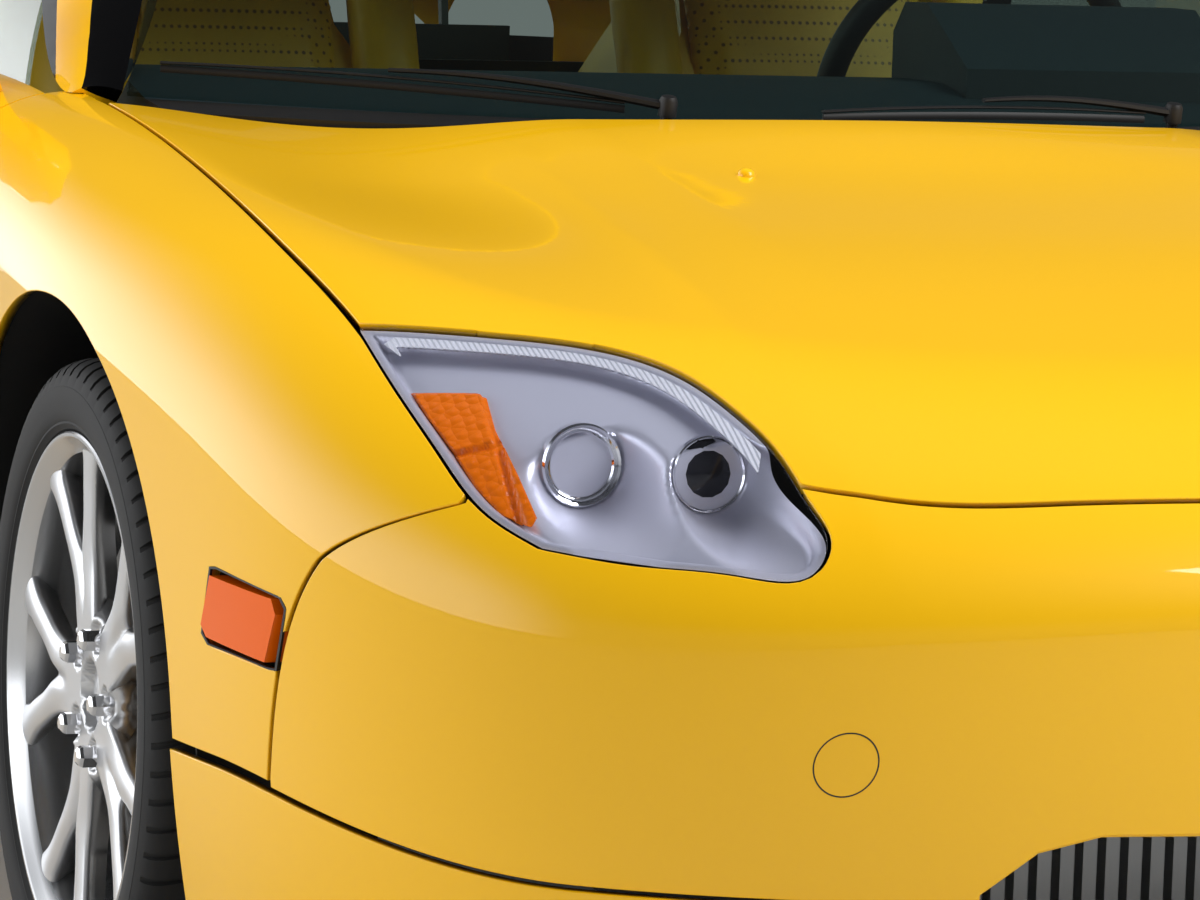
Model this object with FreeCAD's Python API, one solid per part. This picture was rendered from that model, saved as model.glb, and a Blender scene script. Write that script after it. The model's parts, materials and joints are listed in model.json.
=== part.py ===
# A two-seat mid-engined coupe, full size, in millimetres.
# +Z is up, the nose points to -Y, +X is the car's left.
# The origin is on the floor under the middle of the car's outer box.
# One smooth skin is worked out from the short tables below. Each body panel is a stretch of that skin with its own
# thickness, and the lamps, arches, grille and windows are cut through it.
import FreeCAD, Part
import math
import os
from FreeCAD import Vector

os.makedirs("parts", exist_ok=True)

# Driving sizes
body_length = 4425.0
wheelbase = 2530.0
front_overhang = 935.0
panel_gap = 5.0
skin_thickness = 12.0
bonnet_thickness = 16.0
door_thickness = 64.0
glass_thickness = 5.0
seat_clearance = 0.3

nose_y = -body_length / 2
tail_y = body_length / 2
front_axle_y = nose_y + front_overhang
rear_axle_y = front_axle_y + wheelbase

# Plan outline at the widest line, from the nose round to the tail, with what the side does there.
# Columns: x, y, bottom height, tuck under, shoulder depth in plan, shoulder height
stations = [
    (0.0, nose_y, 140.0, 62.0, 300.0, 120.0),
    (300.0, nose_y + 17, 140.0, 62.0, 300.0, 126.0),
    (540.0, nose_y + 82, 140.0, 60.0, 300.0, 150.0),
    (710.0, nose_y + 205, 140.0, 55.0, 290.0, 176.0),
    (806.0, nose_y + 365, 140.0, 45.0, 250.0, 176.0),
    (854.0, nose_y + 575, 140.0, 36.0, 200.0, 150.0),
    (888.0, front_axle_y, 140.0, 40.0, 180.0, 118.0),
    (880.0, front_axle_y + 380, 140.0, 52.0, 150.0, 118.0),
    (866.0, -400.0, 140.0, 60.0, 116.0, 104.0),
    (864.0, 100.0, 140.0, 60.0, 112.0, 92.0),
    (880.0, 600.0, 140.0, 52.0, 140.0, 105.0),
    (900.0, rear_axle_y - 260, 142.0, 44.0, 190.0, 128.0),
    (905.0, rear_axle_y, 148.0, 42.0, 215.0, 145.0),
    (894.0, rear_axle_y + 350, 165.0, 50.0, 215.0, 145.0),
    (846.0, tail_y - 310, 185.0, 60.0, 190.0, 125.0),
    (742.0, tail_y - 135, 195.0, 66.0, 160.0, 105.0),
    (480.0, tail_y - 35, 200.0, 70.0, 140.0, 90.0),
    (0.0, tail_y, 200.0, 70.0, 130.0, 85.0),
]
# Heights of the top before its edge is rounded.
# Columns: y, height on the centre line, height at the wing crest
top_lines = [
    (nose_y, 611.0, 590.0),
    (nose_y + 300, 673.0, 664.0),
    (-1600.0, 730.0, 726.0),
    (front_axle_y, 778.0, 767.0),
    (-1080.0, 812.0, 790.0),
    (-860.0, 822.0, 809.0),
    (-400.0, 826.0, 822.0),
    (100.0, 838.0, 834.0),
    (600.0, 856.0, 856.0),
    (rear_axle_y - 260, 874.0, 884.0),
    (rear_axle_y, 882.0, 894.0),
    (rear_axle_y + 400, 884.0, 890.0),
    (tail_y, 868.0, 862.0),
]
crest_x = 730.0
valley_x, valley_half, valley_depth = 520.0, 210.0, 12.0
# A soft ridge runs from the nose back along each side of the bonnet. Columns: y, x
ridge_line = [(-2150.0, 434.0), (-2010.0, 452.0), (-1733.0, 446.0), (-1294.0, 415.0), (-1050.0, 390.0)]
ridge_height, ridge_run_in, ridge_run_out, ridge_softness = 4.0, 150.0, 40.0, 6.0


class Spline:
    # Natural cubic through (t, value) rows, straight beyond its ends.
    def __init__(self, ts, vs):
        n = len(ts)
        self.t, self.v = ts, vs
        self.h = [ts[i + 1] - ts[i] for i in range(n - 1)]
        low, mid, up, rhs = [0.0] * n, [1.0] * n, [0.0] * n, [0.0] * n
        for i in range(1, n - 1):
            low[i], mid[i], up[i] = self.h[i - 1], 2 * (self.h[i - 1] + self.h[i]), self.h[i]
            rhs[i] = 6 * ((vs[i + 1] - vs[i]) / self.h[i] - (vs[i] - vs[i - 1]) / self.h[i - 1])
        for i in range(1, n):
            w = low[i] / mid[i - 1]
            mid[i] -= w * up[i - 1]
            rhs[i] -= w * rhs[i - 1]
        self.m = [0.0] * n
        for i in range(n - 2, 0, -1):
            self.m[i] = (rhs[i] - up[i] * self.m[i + 1]) / mid[i]

    def __call__(self, t):
        last = len(self.t) - 2
        i = 0
        while i < last and t > self.t[i + 1]:
            i += 1
        h = self.h[i]
        if t < self.t[0] or t > self.t[-1]:
            first = t < self.t[0]
            bend = (-2 * self.m[i] - self.m[i + 1]) if first else (self.m[i] + 2 * self.m[i + 1])
            slope = (self.v[i + 1] - self.v[i]) / h + h / 6 * bend
            end = 0 if first else -1
            return self.v[end] + slope * (t - self.t[end])
        a, b = (self.t[i + 1] - t) / h, (t - self.t[i]) / h
        curved = (a**3 - a) * self.m[i] + (b**3 - b) * self.m[i + 1]
        return a * self.v[i] + b * self.v[i + 1] + curved * h * h / 6


def outline_splines():
    # The outline is run past both ends by its mirror image, so that it crosses the centre line squarely.
    nose = [(-s[0],) + s[1:] for s in stations[2:0:-1]]
    tail = [(-s[0],) + s[1:] for s in stations[-2:-4:-1]]
    rows = nose + stations + tail
    ts = [0.0]
    for a, b in zip(rows, rows[1:]):
        ts.append(ts[-1] + math.hypot(b[0] - a[0], b[1] - a[1]))
    start = ts[2]
    ts = [t - start for t in ts]
    return [Spline(ts, [r[k] for r in rows]) for k in range(6)], ts[2 + len(stations) - 1]


outline, outline_end = outline_splines()
centre_height = Spline([r[0] for r in top_lines], [r[1] for r in top_lines])
crest_height = Spline([r[0] for r in top_lines], [r[2] for r in top_lines])
ridge_x = Spline([r[0] for r in ridge_line], [r[1] for r in ridge_line])


def plan_point(t):
    # Point on the outline and the unit vector that points into the car.
    x, y = outline[0](t), outline[1](t)
    dx, dy = outline[0](t + 1) - outline[0](t - 1), outline[1](t + 1) - outline[1](t - 1)
    size = math.hypot(dx, dy)
    return x, y, -dy / size, dx / size


def outline_at_y(y, low=900.0):
    # The place along the outline where the side passes y.
    high = outline_end - 700.0
    for _ in range(48):
        middle = (low + high) / 2
        if outline[1](middle) < y:
            low = middle
        else:
            high = middle
    return (low + high) / 2


def smooth_step(u):
    u = max(0.0, min(1.0, u))
    return u * u * (3 - 2 * u)


def top_height(x, y):
    # The top before its edge is rounded: crowned from the centre line to the wing crests, with a shallow valley
    # and a soft ridge beside it.
    x = abs(x)
    share = smooth_step(x / crest_x)
    height = centre_height(y) + (crest_height(y) - centre_height(y)) * share
    near = 1 - ((x - valley_x) / valley_half) ** 2
    if near > 0:
        height -= valley_depth * near * near * smooth_step((y + 1950) / 700) * smooth_step((-300 - y) / 400)
    present = smooth_step((y + 2230) / 130) * smooth_step((-1040 - y) / 300)
    if present > 0:
        off = x - ridge_x(y)
        run = ridge_run_in if off < 0 else ridge_run_out
        height += ridge_height * present * math.exp((ridge_softness - math.hypot(off, ridge_softness)) / run)
    return height


def edge_drop(d, depth, height):
    # How far the rounded edge has fallen at a distance d inside the outline.
    if d >= depth:
        return 0.0
    u = 1 - max(0.0, d) / depth
    return height * (1 - math.sqrt(max(0.0, 1 - u * u)))


def top_point(t, d):
    x, y, nx, ny = plan_point(t)
    px, py = x + nx * d, y + ny * d
    return Vector(px, py, top_height(px, py) - edge_drop(d, outline[4](t), outline[5](t)))


def widest_height(t):
    return top_point(t, 0.0).z


def wall_point(t, z):
    # The side under the widest line leans in towards its bottom edge.
    x, y, nx, ny = plan_point(t)
    wide = widest_height(t)
    low = outline[2](t)
    u = (wide - z) / (wide - low)
    tuck = outline[3](t) * u * u * (0.55 + 0.45 * u)
    return Vector(x + nx * tuck, y + ny * tuck, z)


def skin(t, s):
    # One skin point. s runs 0 to 1 from the bottom edge to the widest line, 1 to 2 over the rounded shoulder.
    if s <= 1:
        low = outline[2](t)
        return wall_point(t, low + (widest_height(t) - low) * s)
    depth = outline[4](t)
    return top_point(t, depth * (1 - math.cos((s - 1) * math.pi / 2)) if s <= 2 else depth + (s - 2) * 1000)


def share_of_height(t, z):
    low = outline[2](t)
    return (z - low) / (widest_height(t) - low)


def share_of_inset(t, d):
    # The s at which the skin lies a plan distance d inside the outline.
    depth = outline[4](t)
    return 1 + math.acos(1 - d / depth) * 2 / math.pi if d <= depth else 2 + (d - depth) / 1000


# Build the pieces. Everything on one side is made at +X, the car's left, and mirrored to the right.
nodes = {}


def add(name, shape):
    nodes[name] = shape


def mirrored(shape):
    return shape.mirror(Vector(0, 0, 0), Vector(1, 0, 0))


def both(shape):
    return Part.makeCompound([shape, mirrored(shape)])


def box(x0, x1, y0, y1, z0, z1):
    return Part.makeBox(x1 - x0, y1 - y0, z1 - z0, Vector(x0, y0, z0))


def rod(a, b, radius):
    a, b = Vector(*a), Vector(*b)
    return Part.makeCylinder(radius, (b - a).Length, a, b - a)


def ring(x0, x1, y, z, outer, inner=0.0):
    # A disc or a ring about a line along X.
    body = Part.makeCylinder(outer, x1 - x0, Vector(x0, y, z), Vector(1, 0, 0))
    if inner:
        body = body.cut(Part.makeCylinder(inner, x1 - x0 + 2, Vector(x0 - 1, y, z), Vector(1, 0, 0)))
    return body


def prism(points, along, extrude):
    # A polygon in the plane across one axis, pushed along it.
    # points are the other two coordinates in X, Y, Z order.
    place = {"x": lambda a, b: Vector(along, a, b), "y": lambda a, b: Vector(a, along, b),
             "z": lambda a, b: Vector(a, b, along)}[extrude[0]]
    wire = Part.makePolygon([place(a, b) for a, b in points] + [place(*points[0])])
    push = Vector(*[extrude[1] if extrude[0] == k else 0 for k in "xyz"])
    return Part.Face(wire).extrude(push)


def lerp(a, b, share):
    return a + (b - a) * share


def fused(*shapes):
    body = shapes[0].multiFuse(list(shapes[1:])) if len(shapes) > 1 else shapes[0]
    return body.removeSplitter()


def curve_through(points):
    # A smooth curve through evenly numbered points.
    curve = Part.BSplineCurve()
    curve.interpolate(Points=points, Parameters=[i / (len(points) - 1) for i in range(len(points))])
    return curve


def surface_through(rows):
    # A smooth surface through a grid of points, numbered evenly both ways.
    lengthwise = [curve_through(row) for row in rows]
    count = lengthwise[0].NbPoles
    crosswise = [curve_through([curve.getPole(k) for curve in lengthwise]) for k in range(1, count + 1)]
    poles = [[curve.getPole(k) for curve in crosswise] for k in range(1, crosswise[0].NbPoles + 1)]
    surface = Part.BSplineSurface()
    surface.buildFromPolesMultsKnots(
        poles, crosswise[0].getMultiplicities(), lengthwise[0].getMultiplicities(),
        crosswise[0].getKnots(), lengthwise[0].getKnots(), False, False, 3, 3)
    return surface


def solid_between(front, back, nu, nv):
    # A closed solid between two smooth patches over the same square, with ruled edges.
    surfaces = []
    for point_of in (front, back):
        rows = [[point_of(i / (nu - 1), j / (nv - 1)) for j in range(nv)] for i in range(nu)]
        surfaces.append(surface_through(rows))
    faces = [surface.toShape() for surface in surfaces]
    for side in (lambda k: k.uIso(0.0), lambda k: k.uIso(1.0), lambda k: k.vIso(0.0), lambda k: k.vIso(1.0)):
        faces.append(Part.makeRuledSurface(*[side(surface).toShape() for surface in surfaces]))
    shell = Part.makeShell(faces)
    shell.sewShape(0.01)
    solid = Part.makeSolid(shell.Shells[0])
    if solid.Volume < 0:
        solid.reverse()
    return solid


def normal_at(point_of, u, v):
    # Unit normal of a surface given as point_of(u, v), facing away from the car's middle.
    e = 1e-3
    du = point_of(u + e, v) - point_of(u - e, v)
    dv = point_of(u, v + e) - point_of(u, v - e)
    normal = du.cross(dv)
    normal.normalize()
    here = point_of(u, v)
    if normal.dot(here - Vector(0, here.y * 0.6, 380)) < 0:
        normal = -normal
    return normal


def thick(point_of, depth0, depth1, nu, nv):
    # A plate that lies between two depths under the surface point_of(u, v).
    def at_depth(depth):
        if depth == 0:
            return point_of
        return lambda u, v: point_of(u, v) - normal_at(point_of, u, v) * depth
    return solid_between(at_depth(depth0), at_depth(depth1), nu, nv)


def skin_round(t, s):
    # The skin carried on round the nose, where t is negative, and round the tail, past the outline's end.
    if 0 <= t <= outline_end:
        return skin(t, s)
    here = skin(-t if t < 0 else 2 * outline_end - t, s)
    return Vector(-here.x, here.y, here.z)


def skin_patch(t0, t1, s0, s1):
    # A stretch of the skin. Each bound is a number or a function: t0, t1 of s and s0, s1 of t.
    def point_of(u, v):
        t = (t0(0.5) if callable(t0) else t0) * (1 - u) + (t1(0.5) if callable(t1) else t1) * u
        low = s0(t) if callable(s0) else s0
        high = s1(t) if callable(s1) else s1
        s = low + (high - low) * v
        a = t0(s) if callable(t0) else t0
        b = t1(s) if callable(t1) else t1
        return skin_round(a + (b - a) * u, s)
    return point_of


def inset_to_line(t, line):
    # The plan distance inside the outline at which the skin reaches the line x = line(y).
    x, y, nx, ny = plan_point(t)
    low, high = 0.0, 420.0
    for _ in range(40):
        middle = (low + high) / 2
        if x + nx * middle > line(y + ny * middle):
            low = middle
        else:
            high = middle
    return low


# Places of the panel edges along the car
bonnet_edge = Spline([-1730.0, -1560.0, -1292.0, -870.0], [739.0, 747.0, 739.0, 729.0])
bonnet_front_inset = 64.5
bonnet_rear_mid_y, bonnet_rear_side_y = -1075.0, -874.0
door_front_y, door_rear_y = -790.0, 330.0
door_sweep = 20.0
sill_top_z = 262.0
belt_inset = 112.0
deck_front_y, deck_rear_y = 1462.0, 2168.0
deck_edge = Spline([430.0, 1000.0, 1380.0, 1500.0, 1900.0, 2150.0],
                   [757.0, 765.0, 742.0, 690.0, 640.0, 610.0])
tail_seam_z = 470.0
lamp_band = (560.0, 700.0)
t_door_front = outline_at_y(door_front_y)
t_door_rear = outline_at_y(door_rear_y)
t_seam_top, t_seam_low = 812.0, 1019.0
t_arch = outline_at_y(front_axle_y - 312.0)
t_tail = outline_at_y(2060.0)


def seam_t(s):
    # The seam between bumper and wing curves forward as it climbs to the headlamp.
    climb = max(0.0, min(1.0, (s - 0.45) / 0.85))
    return t_seam_low - (t_seam_low - t_seam_top) * (0.32 * climb + 0.68 * climb ** 3.2)


def lower_seam_z(t):
    # Height of the seam over the chin, from the arch round to the nose.
    return 270.0 + 41.0 * smooth_step((abs(t) - 690.0) / 430.0) + 6.0 * smooth_step((450.0 - abs(t)) / 300.0)


def lower_seam_s(t):
    return share_of_height(abs(t), lower_seam_z(t))


# Wheels and tyres
rim_flange_radius = 235.6
rim_well_radius = 206.0
rim_wall = 8.0
hub_radius = 74.0
disc_radius, disc_thickness, disc_inset = 150.0, 28.0, 20.0
spoke_pairs = 5
# Columns: name, centre x, centre y, tyre radius, tyre half width, rim half width, hub face x
wheel_rows = [
    ("front", 755.0, front_axle_y, 302.0, 107.5, 101.0, 808.0),
    ("rear", 770.0, rear_axle_y, 318.0, 127.5, 121.0, 826.0),
]
arch_gap = 16.0
arch_rise = 42.0
liner_gap = 14.0
liner_thickness = 3.0
axle_bore = 20.0
bearing_clearance = 0.3


def revolve_x(profile, x, y, z):
    # A profile of (offset along X, radius) corners turned about a line along X.
    wire = Part.makePolygon([Vector(x + a, y, z + r) for a, r in profile + profile[:1]])
    return Part.Face(wire).revolve(Vector(x, y, z), Vector(1, 0, 0), 360)


def wheel_shape(x, y, z, rim_half, face_x):
    barrel = [
        (-rim_half, rim_flange_radius), (-rim_half + 7, rim_flange_radius), (-rim_half + 12, 221.0),
        (-rim_half + 42, 218.0), (-20, rim_well_radius + rim_wall), (30, rim_well_radius + rim_wall),
        (rim_half - 34, 218.0), (rim_half - 12, 221.0), (rim_half - 7, rim_flange_radius),
        (rim_half, rim_flange_radius), (rim_half, 224.0), (rim_half - 6, 213.0), (rim_half - 36, 209.0),
        (30, rim_well_radius), (-20, rim_well_radius), (-rim_half + 40, 210.0), (-rim_half, 214.0),
    ]
    pieces = [revolve_x(barrel, x, y, z)]
    inner_x, outer_x = face_x - x, rim_half - 10
    for pair in range(spoke_pairs):
        for side in (-1, 1):
            # Two branches share a stem at the hub and part towards the rim, like a Y.
            wires = []
            for radius, spread, half, low, high in [
                (56.0, 10.0, 14.0, inner_x, inner_x + 30), (108.0, 13.0, 13.5, inner_x + 2, inner_x + 33),
                (165.0, 33.0, 11.0, outer_x - 33, outer_x - 2), (214.0, 55.0, 13.0, outer_x - 28, outer_x),
            ]:
                angle = math.radians(360 / spoke_pairs * pair) + side * spread / radius
                out = Vector(0, math.cos(angle), math.sin(angle))
                across = Vector(0, -math.sin(angle), math.cos(angle))
                base = Vector(x, y, z) + out * radius
                corners = [base + across * w + Vector(d, 0, 0)
                           for w, d in ((-half, low), (half, low), (half * 0.6, high), (-half * 0.6, high))]
                wires.append(Part.makePolygon(corners + corners[:1]))
            pieces.append(Part.makeLoft(wires, True, True))
    disc_x = inner_x - disc_inset
    stub = axle_bore - bearing_clearance
    hub = [(disc_x - 86, 0.0), (disc_x - 86, stub), (disc_x - 40, stub), (disc_x - 40, 66.0),
           (disc_x - disc_thickness, 66.0), (disc_x - disc_thickness, disc_radius), (disc_x, disc_radius),
           (disc_x, hub_radius), (inner_x + 24, hub_radius), (inner_x + 32, hub_radius - 12),
           (inner_x + 26, 34.0), (inner_x + 36, 30.0), (inner_x + 36, 0.0)]
    pieces.append(revolve_x(hub, x, y, z))
    return fused(*pieces)


def tyre_shape(x, y, z, radius, half, rim_half):
    seat = rim_flange_radius - 13.0
    side = (radius + rim_flange_radius) / 2
    outer_half = [(half - 34, radius), (half - 9, radius - 13), (half, side), (half - 4, rim_flange_radius + 6),
                  (rim_half - 7.3, rim_flange_radius + 0.3), (rim_half - 12.3, seat), (half - 30, radius - 14)]
    profile = outer_half + [(-a, r) for a, r in outer_half[::-1]]
    return revolve_x(profile, x, y, z)


def arch_solid(y, tyre_radius, grow, x0, x1):
    # The wheel opening: a half round that stands above the axle, with straight legs down.
    radius = tyre_radius + arch_gap + grow
    centre = tyre_radius + arch_rise
    top = Part.makeCylinder(radius, x1 - x0, Vector(x0, y, centre), Vector(1, 0, 0))
    return top.fuse(box(x0, x1, y - radius, y + radius, -50, centre))


for place, x, y, tyre_radius, tyre_half, rim_half, face_x in wheel_rows:
    wheel = wheel_shape(x, y, tyre_radius, rim_half, face_x)
    tyre = tyre_shape(x, y, tyre_radius, tyre_radius, tyre_half, rim_half)
    add("wheel_%s_left" % place, wheel)
    add("wheel_%s_right" % place, mirrored(wheel))
    add("tyre_%s_left" % place, tyre)
    add("tyre_%s_right" % place, mirrored(tyre))

front_wheel, rear_wheel = wheel_rows
front_radius, rear_radius = front_wheel[3], rear_wheel[3]
front_arch = arch_solid(front_axle_y, front_radius, 0, 500, 1000)
rear_arch = arch_solid(rear_axle_y, rear_radius, 0, 500, 1000)

# The headlamp's outline, as places on the skin.
# It has a sharp outer corner and runs along the top to its inner tip.
lamp_edge = [(1050, 1.622), (930, 1.765), (771, 1.815), (671, 1.771), (598, 1.68), (545, 1.56), (512, 1.42),
             (496, 1.30), (508, 1.235), (565, 1.229), (650, 1.238), (731, 1.243)]
lamp_side = [(731, 1.243), (789, 1.295), (855, 1.394), (935, 1.497), (1050, 1.622)]
lamp_facing = Vector(0.50, -0.62, 0.60)
lamp_facing.normalize()
lamp_depth = 95.0
lens_thickness = 4.0
lens_rim = 16.0


def lamp_prism(shrink, out, back):
    # A solid with the lamp's outline, pulled in all round by shrink, that runs along the way the lamp faces.
    middle = skin(731, 1.52)
    top, side = [], []
    for row, points in ((lamp_edge, top), (lamp_side, side)):
        for t, s in row:
            spot = skin(t, s) - middle
            flat = spot - lamp_facing * spot.dot(lamp_facing)
            points.append(flat)
    size = sum(p.Length for p in top) / len(top)
    curves = []
    for points in (top, side):
        curve = Part.BSplineCurve()
        curve.interpolate([middle + p * (1 - shrink / size) + lamp_facing * out for p in points])
        curves.append(curve.toShape())
    return Part.Face(Part.Wire(curves)).extrude(lamp_facing * -(out + back))


lamp_hole = lamp_prism(-2.0, 90, 260)


def plan_region(inner_x, line, y0, y1, z0, z1, shift, count=9):
    # An upright block between x = inner_x and the line x = line(y) + shift.
    ys = [lerp(y0, y1, k / (count - 1)) for k in range(count)]
    edge = curve_through([Vector(line(y) + shift, y, z0) for y in ys]).toShape()
    corners = [Vector(line(y0) + shift, y0, z0), Vector(inner_x, y0, z0), Vector(inner_x, y1, z0),
               Vector(line(y1) + shift, y1, z0)]
    sides = [Part.makeLine(a, b) for a, b in zip(corners, corners[1:])]
    return Part.Face(Part.Wire(Part.__sortEdges__([edge] + sides))).extrude(Vector(0, 0, z1 - z0))


# Front wings
def fender_front_t(s):
    # The wing's front edge follows the bumper seam and then runs on inside the headlamp.
    return seam_t(s) + panel_gap if s < 1.3 else t_seam_top + panel_gap + (s - 1.3) * 300


def fender_top_s(t):
    return share_of_inset(t, inset_to_line(t, lambda y: bonnet_edge(y) + panel_gap))


def fender_rear_t(s):
    return t_door_front - 6 + door_sweep * max(0.0, s - 1)




def panel_foot_s(t):
    # The lower edge of wing, door and quarter, just over the sill.
    return share_of_height(t, sill_top_z + 5)


wing_skin = skin_patch(fender_front_t, fender_rear_t, panel_foot_s, fender_top_s)
wing = thick(wing_skin, 0, skin_thickness, 20, 14)
# In front of the arch the wing stops at the chin seam.
wing = wing.cut(box(600, 1000, nose_y, front_axle_y, 0, 316)).cut(front_arch).cut(lamp_hole)
wing = wing.cut(plan_region(600.0, bonnet_edge, -1800.0, -700.0, 500, 900, panel_gap / 2))
add("front_fender_left", wing)
add("front_fender_right", mirrored(wing))

# Front bumper, in one piece from wing to wing, and the chin under it
grille_half, grille_top_z, grille_low_z = 362.0, 325.0, 205.0
bumper_thickness = 10.0


def bonnet_front_s(t):
    # The bumper's upper edge. Past the lamp's inner tip it runs on inside the lamp's outline.
    t = abs(t)
    if t < 470:
        return share_of_inset(t, bonnet_front_inset)
    share = smooth_step((t - 470) / 160)
    return (1 - share) * share_of_inset(t, bonnet_front_inset) + share * 1.36


def mirror_t(t_of):
    return lambda s: -t_of(s)


bumper_skin = skin_patch(mirror_t(seam_t), seam_t, lower_seam_s, bonnet_front_s)
bumper = thick(bumper_skin, 0, bumper_thickness, 37, 12)
mouth = prism([(-grille_half, grille_low_z - 60), (grille_half, grille_low_z - 60), (grille_half, 278.0),
               (grille_half - 42, 312.0), (grille_half - 92, grille_top_z), (92 - grille_half, grille_top_z),
               (42 - grille_half, 312.0), (-grille_half, 278.0)], nose_y - 50, ("y", 320.0))
bumper = bumper.cut(mouth).cut(lamp_hole).cut(mirrored(lamp_hole))
# The round cap over the towing eye is cut round by a groove, on the car's right only.
cap_x, cap_z, cap_radius, cap_groove = -472.0, 380.0, 25.0, 1.6
cap_t = next(t for t in range(440, 620) if skin(t, 0.6).x > -cap_x)
cap_place = skin_round(-cap_t, share_of_height(cap_t, cap_z))
cap_axis = Vector(-0.36, -0.93, 0.05)
cap_axis.normalize()
cap_start = cap_place - cap_axis * 1.8
bumper = bumper.cut(Part.makeCylinder(cap_radius, 30, cap_start, cap_axis).cut(
    Part.makeCylinder(cap_radius - cap_groove, 30, cap_start, cap_axis)))
add("front_bumper", bumper)

chin_foot_z = 141.0
chin_skin = skin_patch(-t_arch, t_arch, lambda t: share_of_height(abs(t), chin_foot_z),
                       lambda t: lower_seam_s(t) - 0.001)
chin_mouth = prism([(-grille_half, grille_low_z), (grille_half, grille_low_z), (grille_half, 340.0),
                    (-grille_half, 340.0)], nose_y - 50, ("y", 320.0))
chin = thick(chin_skin, -4.0, bumper_thickness - 4.0, 37, 5).cut(chin_mouth)
for arch in (front_arch, mirrored(front_arch)):
    chin = chin.cut(arch)
add("chin_spoiler", chin)

# Bonnet: the top skin between the wings, cut away for the headlamps
front_row = [skin(t, share_of_inset(t, bonnet_front_inset)) for t in (0.0, 140.0, 290.0, 430.0)]
front_row = [(p.x, p.y) for p in front_row] + [(540.0, -2025.0), (640.0, -1905.0), (747.0, -1745.0)]
front_row = [(-x, y) for x, y in front_row[:0:-1]] + front_row
bonnet_front = Spline([x for x, y in front_row], [y for x, y in front_row])


def bonnet_rear(x):
    return bonnet_rear_mid_y + (bonnet_rear_side_y - bonnet_rear_mid_y) * (x / 729.0) ** 2


def panel_height(x, y):
    # Height of the finished skin over a place in plan, with the shoulder's rounding taken off.
    x = abs(x)
    if y < -1300:
        low, high = 0.0, outline_at_y(-1200)
    else:
        low, high = outline_at_y(y - 250), min(outline_end, outline_at_y(y + 250))
    for _ in range(30):
        # The nearest place on the outline is where the inward line passes through the point.
        a, b = low + (high - low) / 3, high - (high - low) / 3
        pa, pb = plan_point(a), plan_point(b)
        if math.hypot(pa[0] - x, pa[1] - y) < math.hypot(pb[0] - x, pb[1] - y):
            high = b
        else:
            low = a
    t = (low + high) / 2
    px, py, nx, ny = plan_point(t)
    d = max(0.0, (x - px) * nx + (y - py) * ny)
    return top_height(x, y) - edge_drop(d, outline[4](t), outline[5](t))


def bonnet_point(u, v):
    edge_y = -1745.0 + v * (bonnet_rear_side_y + 1745.0)
    x = (2 * u - 1) * (bonnet_edge(edge_y) - panel_gap / 2)
    front, rear = bonnet_front(x) + panel_gap, bonnet_rear(x)
    y = front + (rear - front) * v
    return Vector(x, y, panel_height(x, y))


bonnet_hinge = (-866.0, 790.0)
hinge_pin_radius = 5.0
bonnet = thick(bonnet_point, 0, bonnet_thickness, 41, 14)
bonnet_hole = lamp_prism(-4.5, 90, 260)
bonnet = bonnet.cut(bonnet_hole).cut(mirrored(bonnet_hole))
arm_outline = [(-950, 762), (-950, 778), (-905, 784), (-866, 798), (-858, 790), (-866, 782), (-905, 768)]
hinge_arm = prism(arm_outline, 684.0, ("x", 14.0))
hinge_arm = hinge_arm.cut(rod((680, *bonnet_hinge), (700, *bonnet_hinge), hinge_pin_radius + seat_clearance))
hinge_arm = fused(hinge_arm, box(660, 698, -960, -925, 760, 800).common(
    thick(bonnet_point, bonnet_thickness - 2, bonnet_thickness + 26, 25, 14)))
bonnet = fused(bonnet, hinge_arm, mirrored(hinge_arm))
add("bonnet", bonnet)

# Headlamps: a clear cover with a rim that stands on the lamp's housing, and two round lamps sunk into it
lamp_skin = skin_patch(470.0, 1075.0, 1.19, lambda t: 1.86)
lens_block = thick(lamp_skin, 0, lens_rim, 14, 8)
lens_hollow = thick(lamp_skin, lens_thickness, lens_rim + 8, 14, 8)
lens = lens_block.common(lamp_prism(0, 90, 200)).cut(lens_hollow.common(lamp_prism(4.5, 90, 200)))
add("headlamp_lens_left", lens)
add("headlamp_lens_right", mirrored(lens))
housing = thick(lamp_skin, lens_rim + seat_clearance, lamp_depth, 14, 8).common(lamp_prism(1.0, 90, 200))
# Each lamp looks straight ahead out of a bowl that flares towards the cover, off centre and down.
# Columns: place t, place s, foot radius, mouth radius, mouth's shift inwards and down from the foot
lamp_aim = Vector(0.0, -1.0, 0.0)
lamp_set_back = Vector(-18.0, 47.0, -6.0)
lamp_foot, lamp_height, mouth_run = 4.0, 6.0, 44.0
lamp_rows = [(722, 1.464, 34.0, 62.0, -4.6, 5.3), (602, 1.488, 31.0, 51.0, 7.4, 18.3)]
for t, s, foot, mouth_radius, shift_in, shift_down in lamp_rows:
    start = skin(t, s) + lamp_set_back - lamp_aim * lamp_foot
    mouth_centre = start + lamp_aim * mouth_run + Vector(-shift_in, 0, -shift_down)
    stretch = 1.8
    far_radius, far_centre = lerp(foot, mouth_radius, stretch), lerp(start, mouth_centre, stretch)
    circles = [Part.makeCircle(foot, start, lamp_aim), Part.makeCircle(far_radius, far_centre, lamp_aim)]
    housing = housing.cut(Part.makeLoft([Part.Wire(circle) for circle in circles], True, True))
    housing = housing.fuse(Part.makeCylinder(foot - 1.0, lamp_height + 1, start - lamp_aim, lamp_aim))
housing = max(housing.Solids, key=lambda solid: solid.Volume)
add("headlamp_left", housing)
add("headlamp_right", mirrored(housing))

# Doors
door_gap = 6.0


def door_front_t(s):
    return t_door_front + door_sweep * max(0.0, s - 1)


def belt_s(t):
    return share_of_inset(t, belt_inset)


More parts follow.
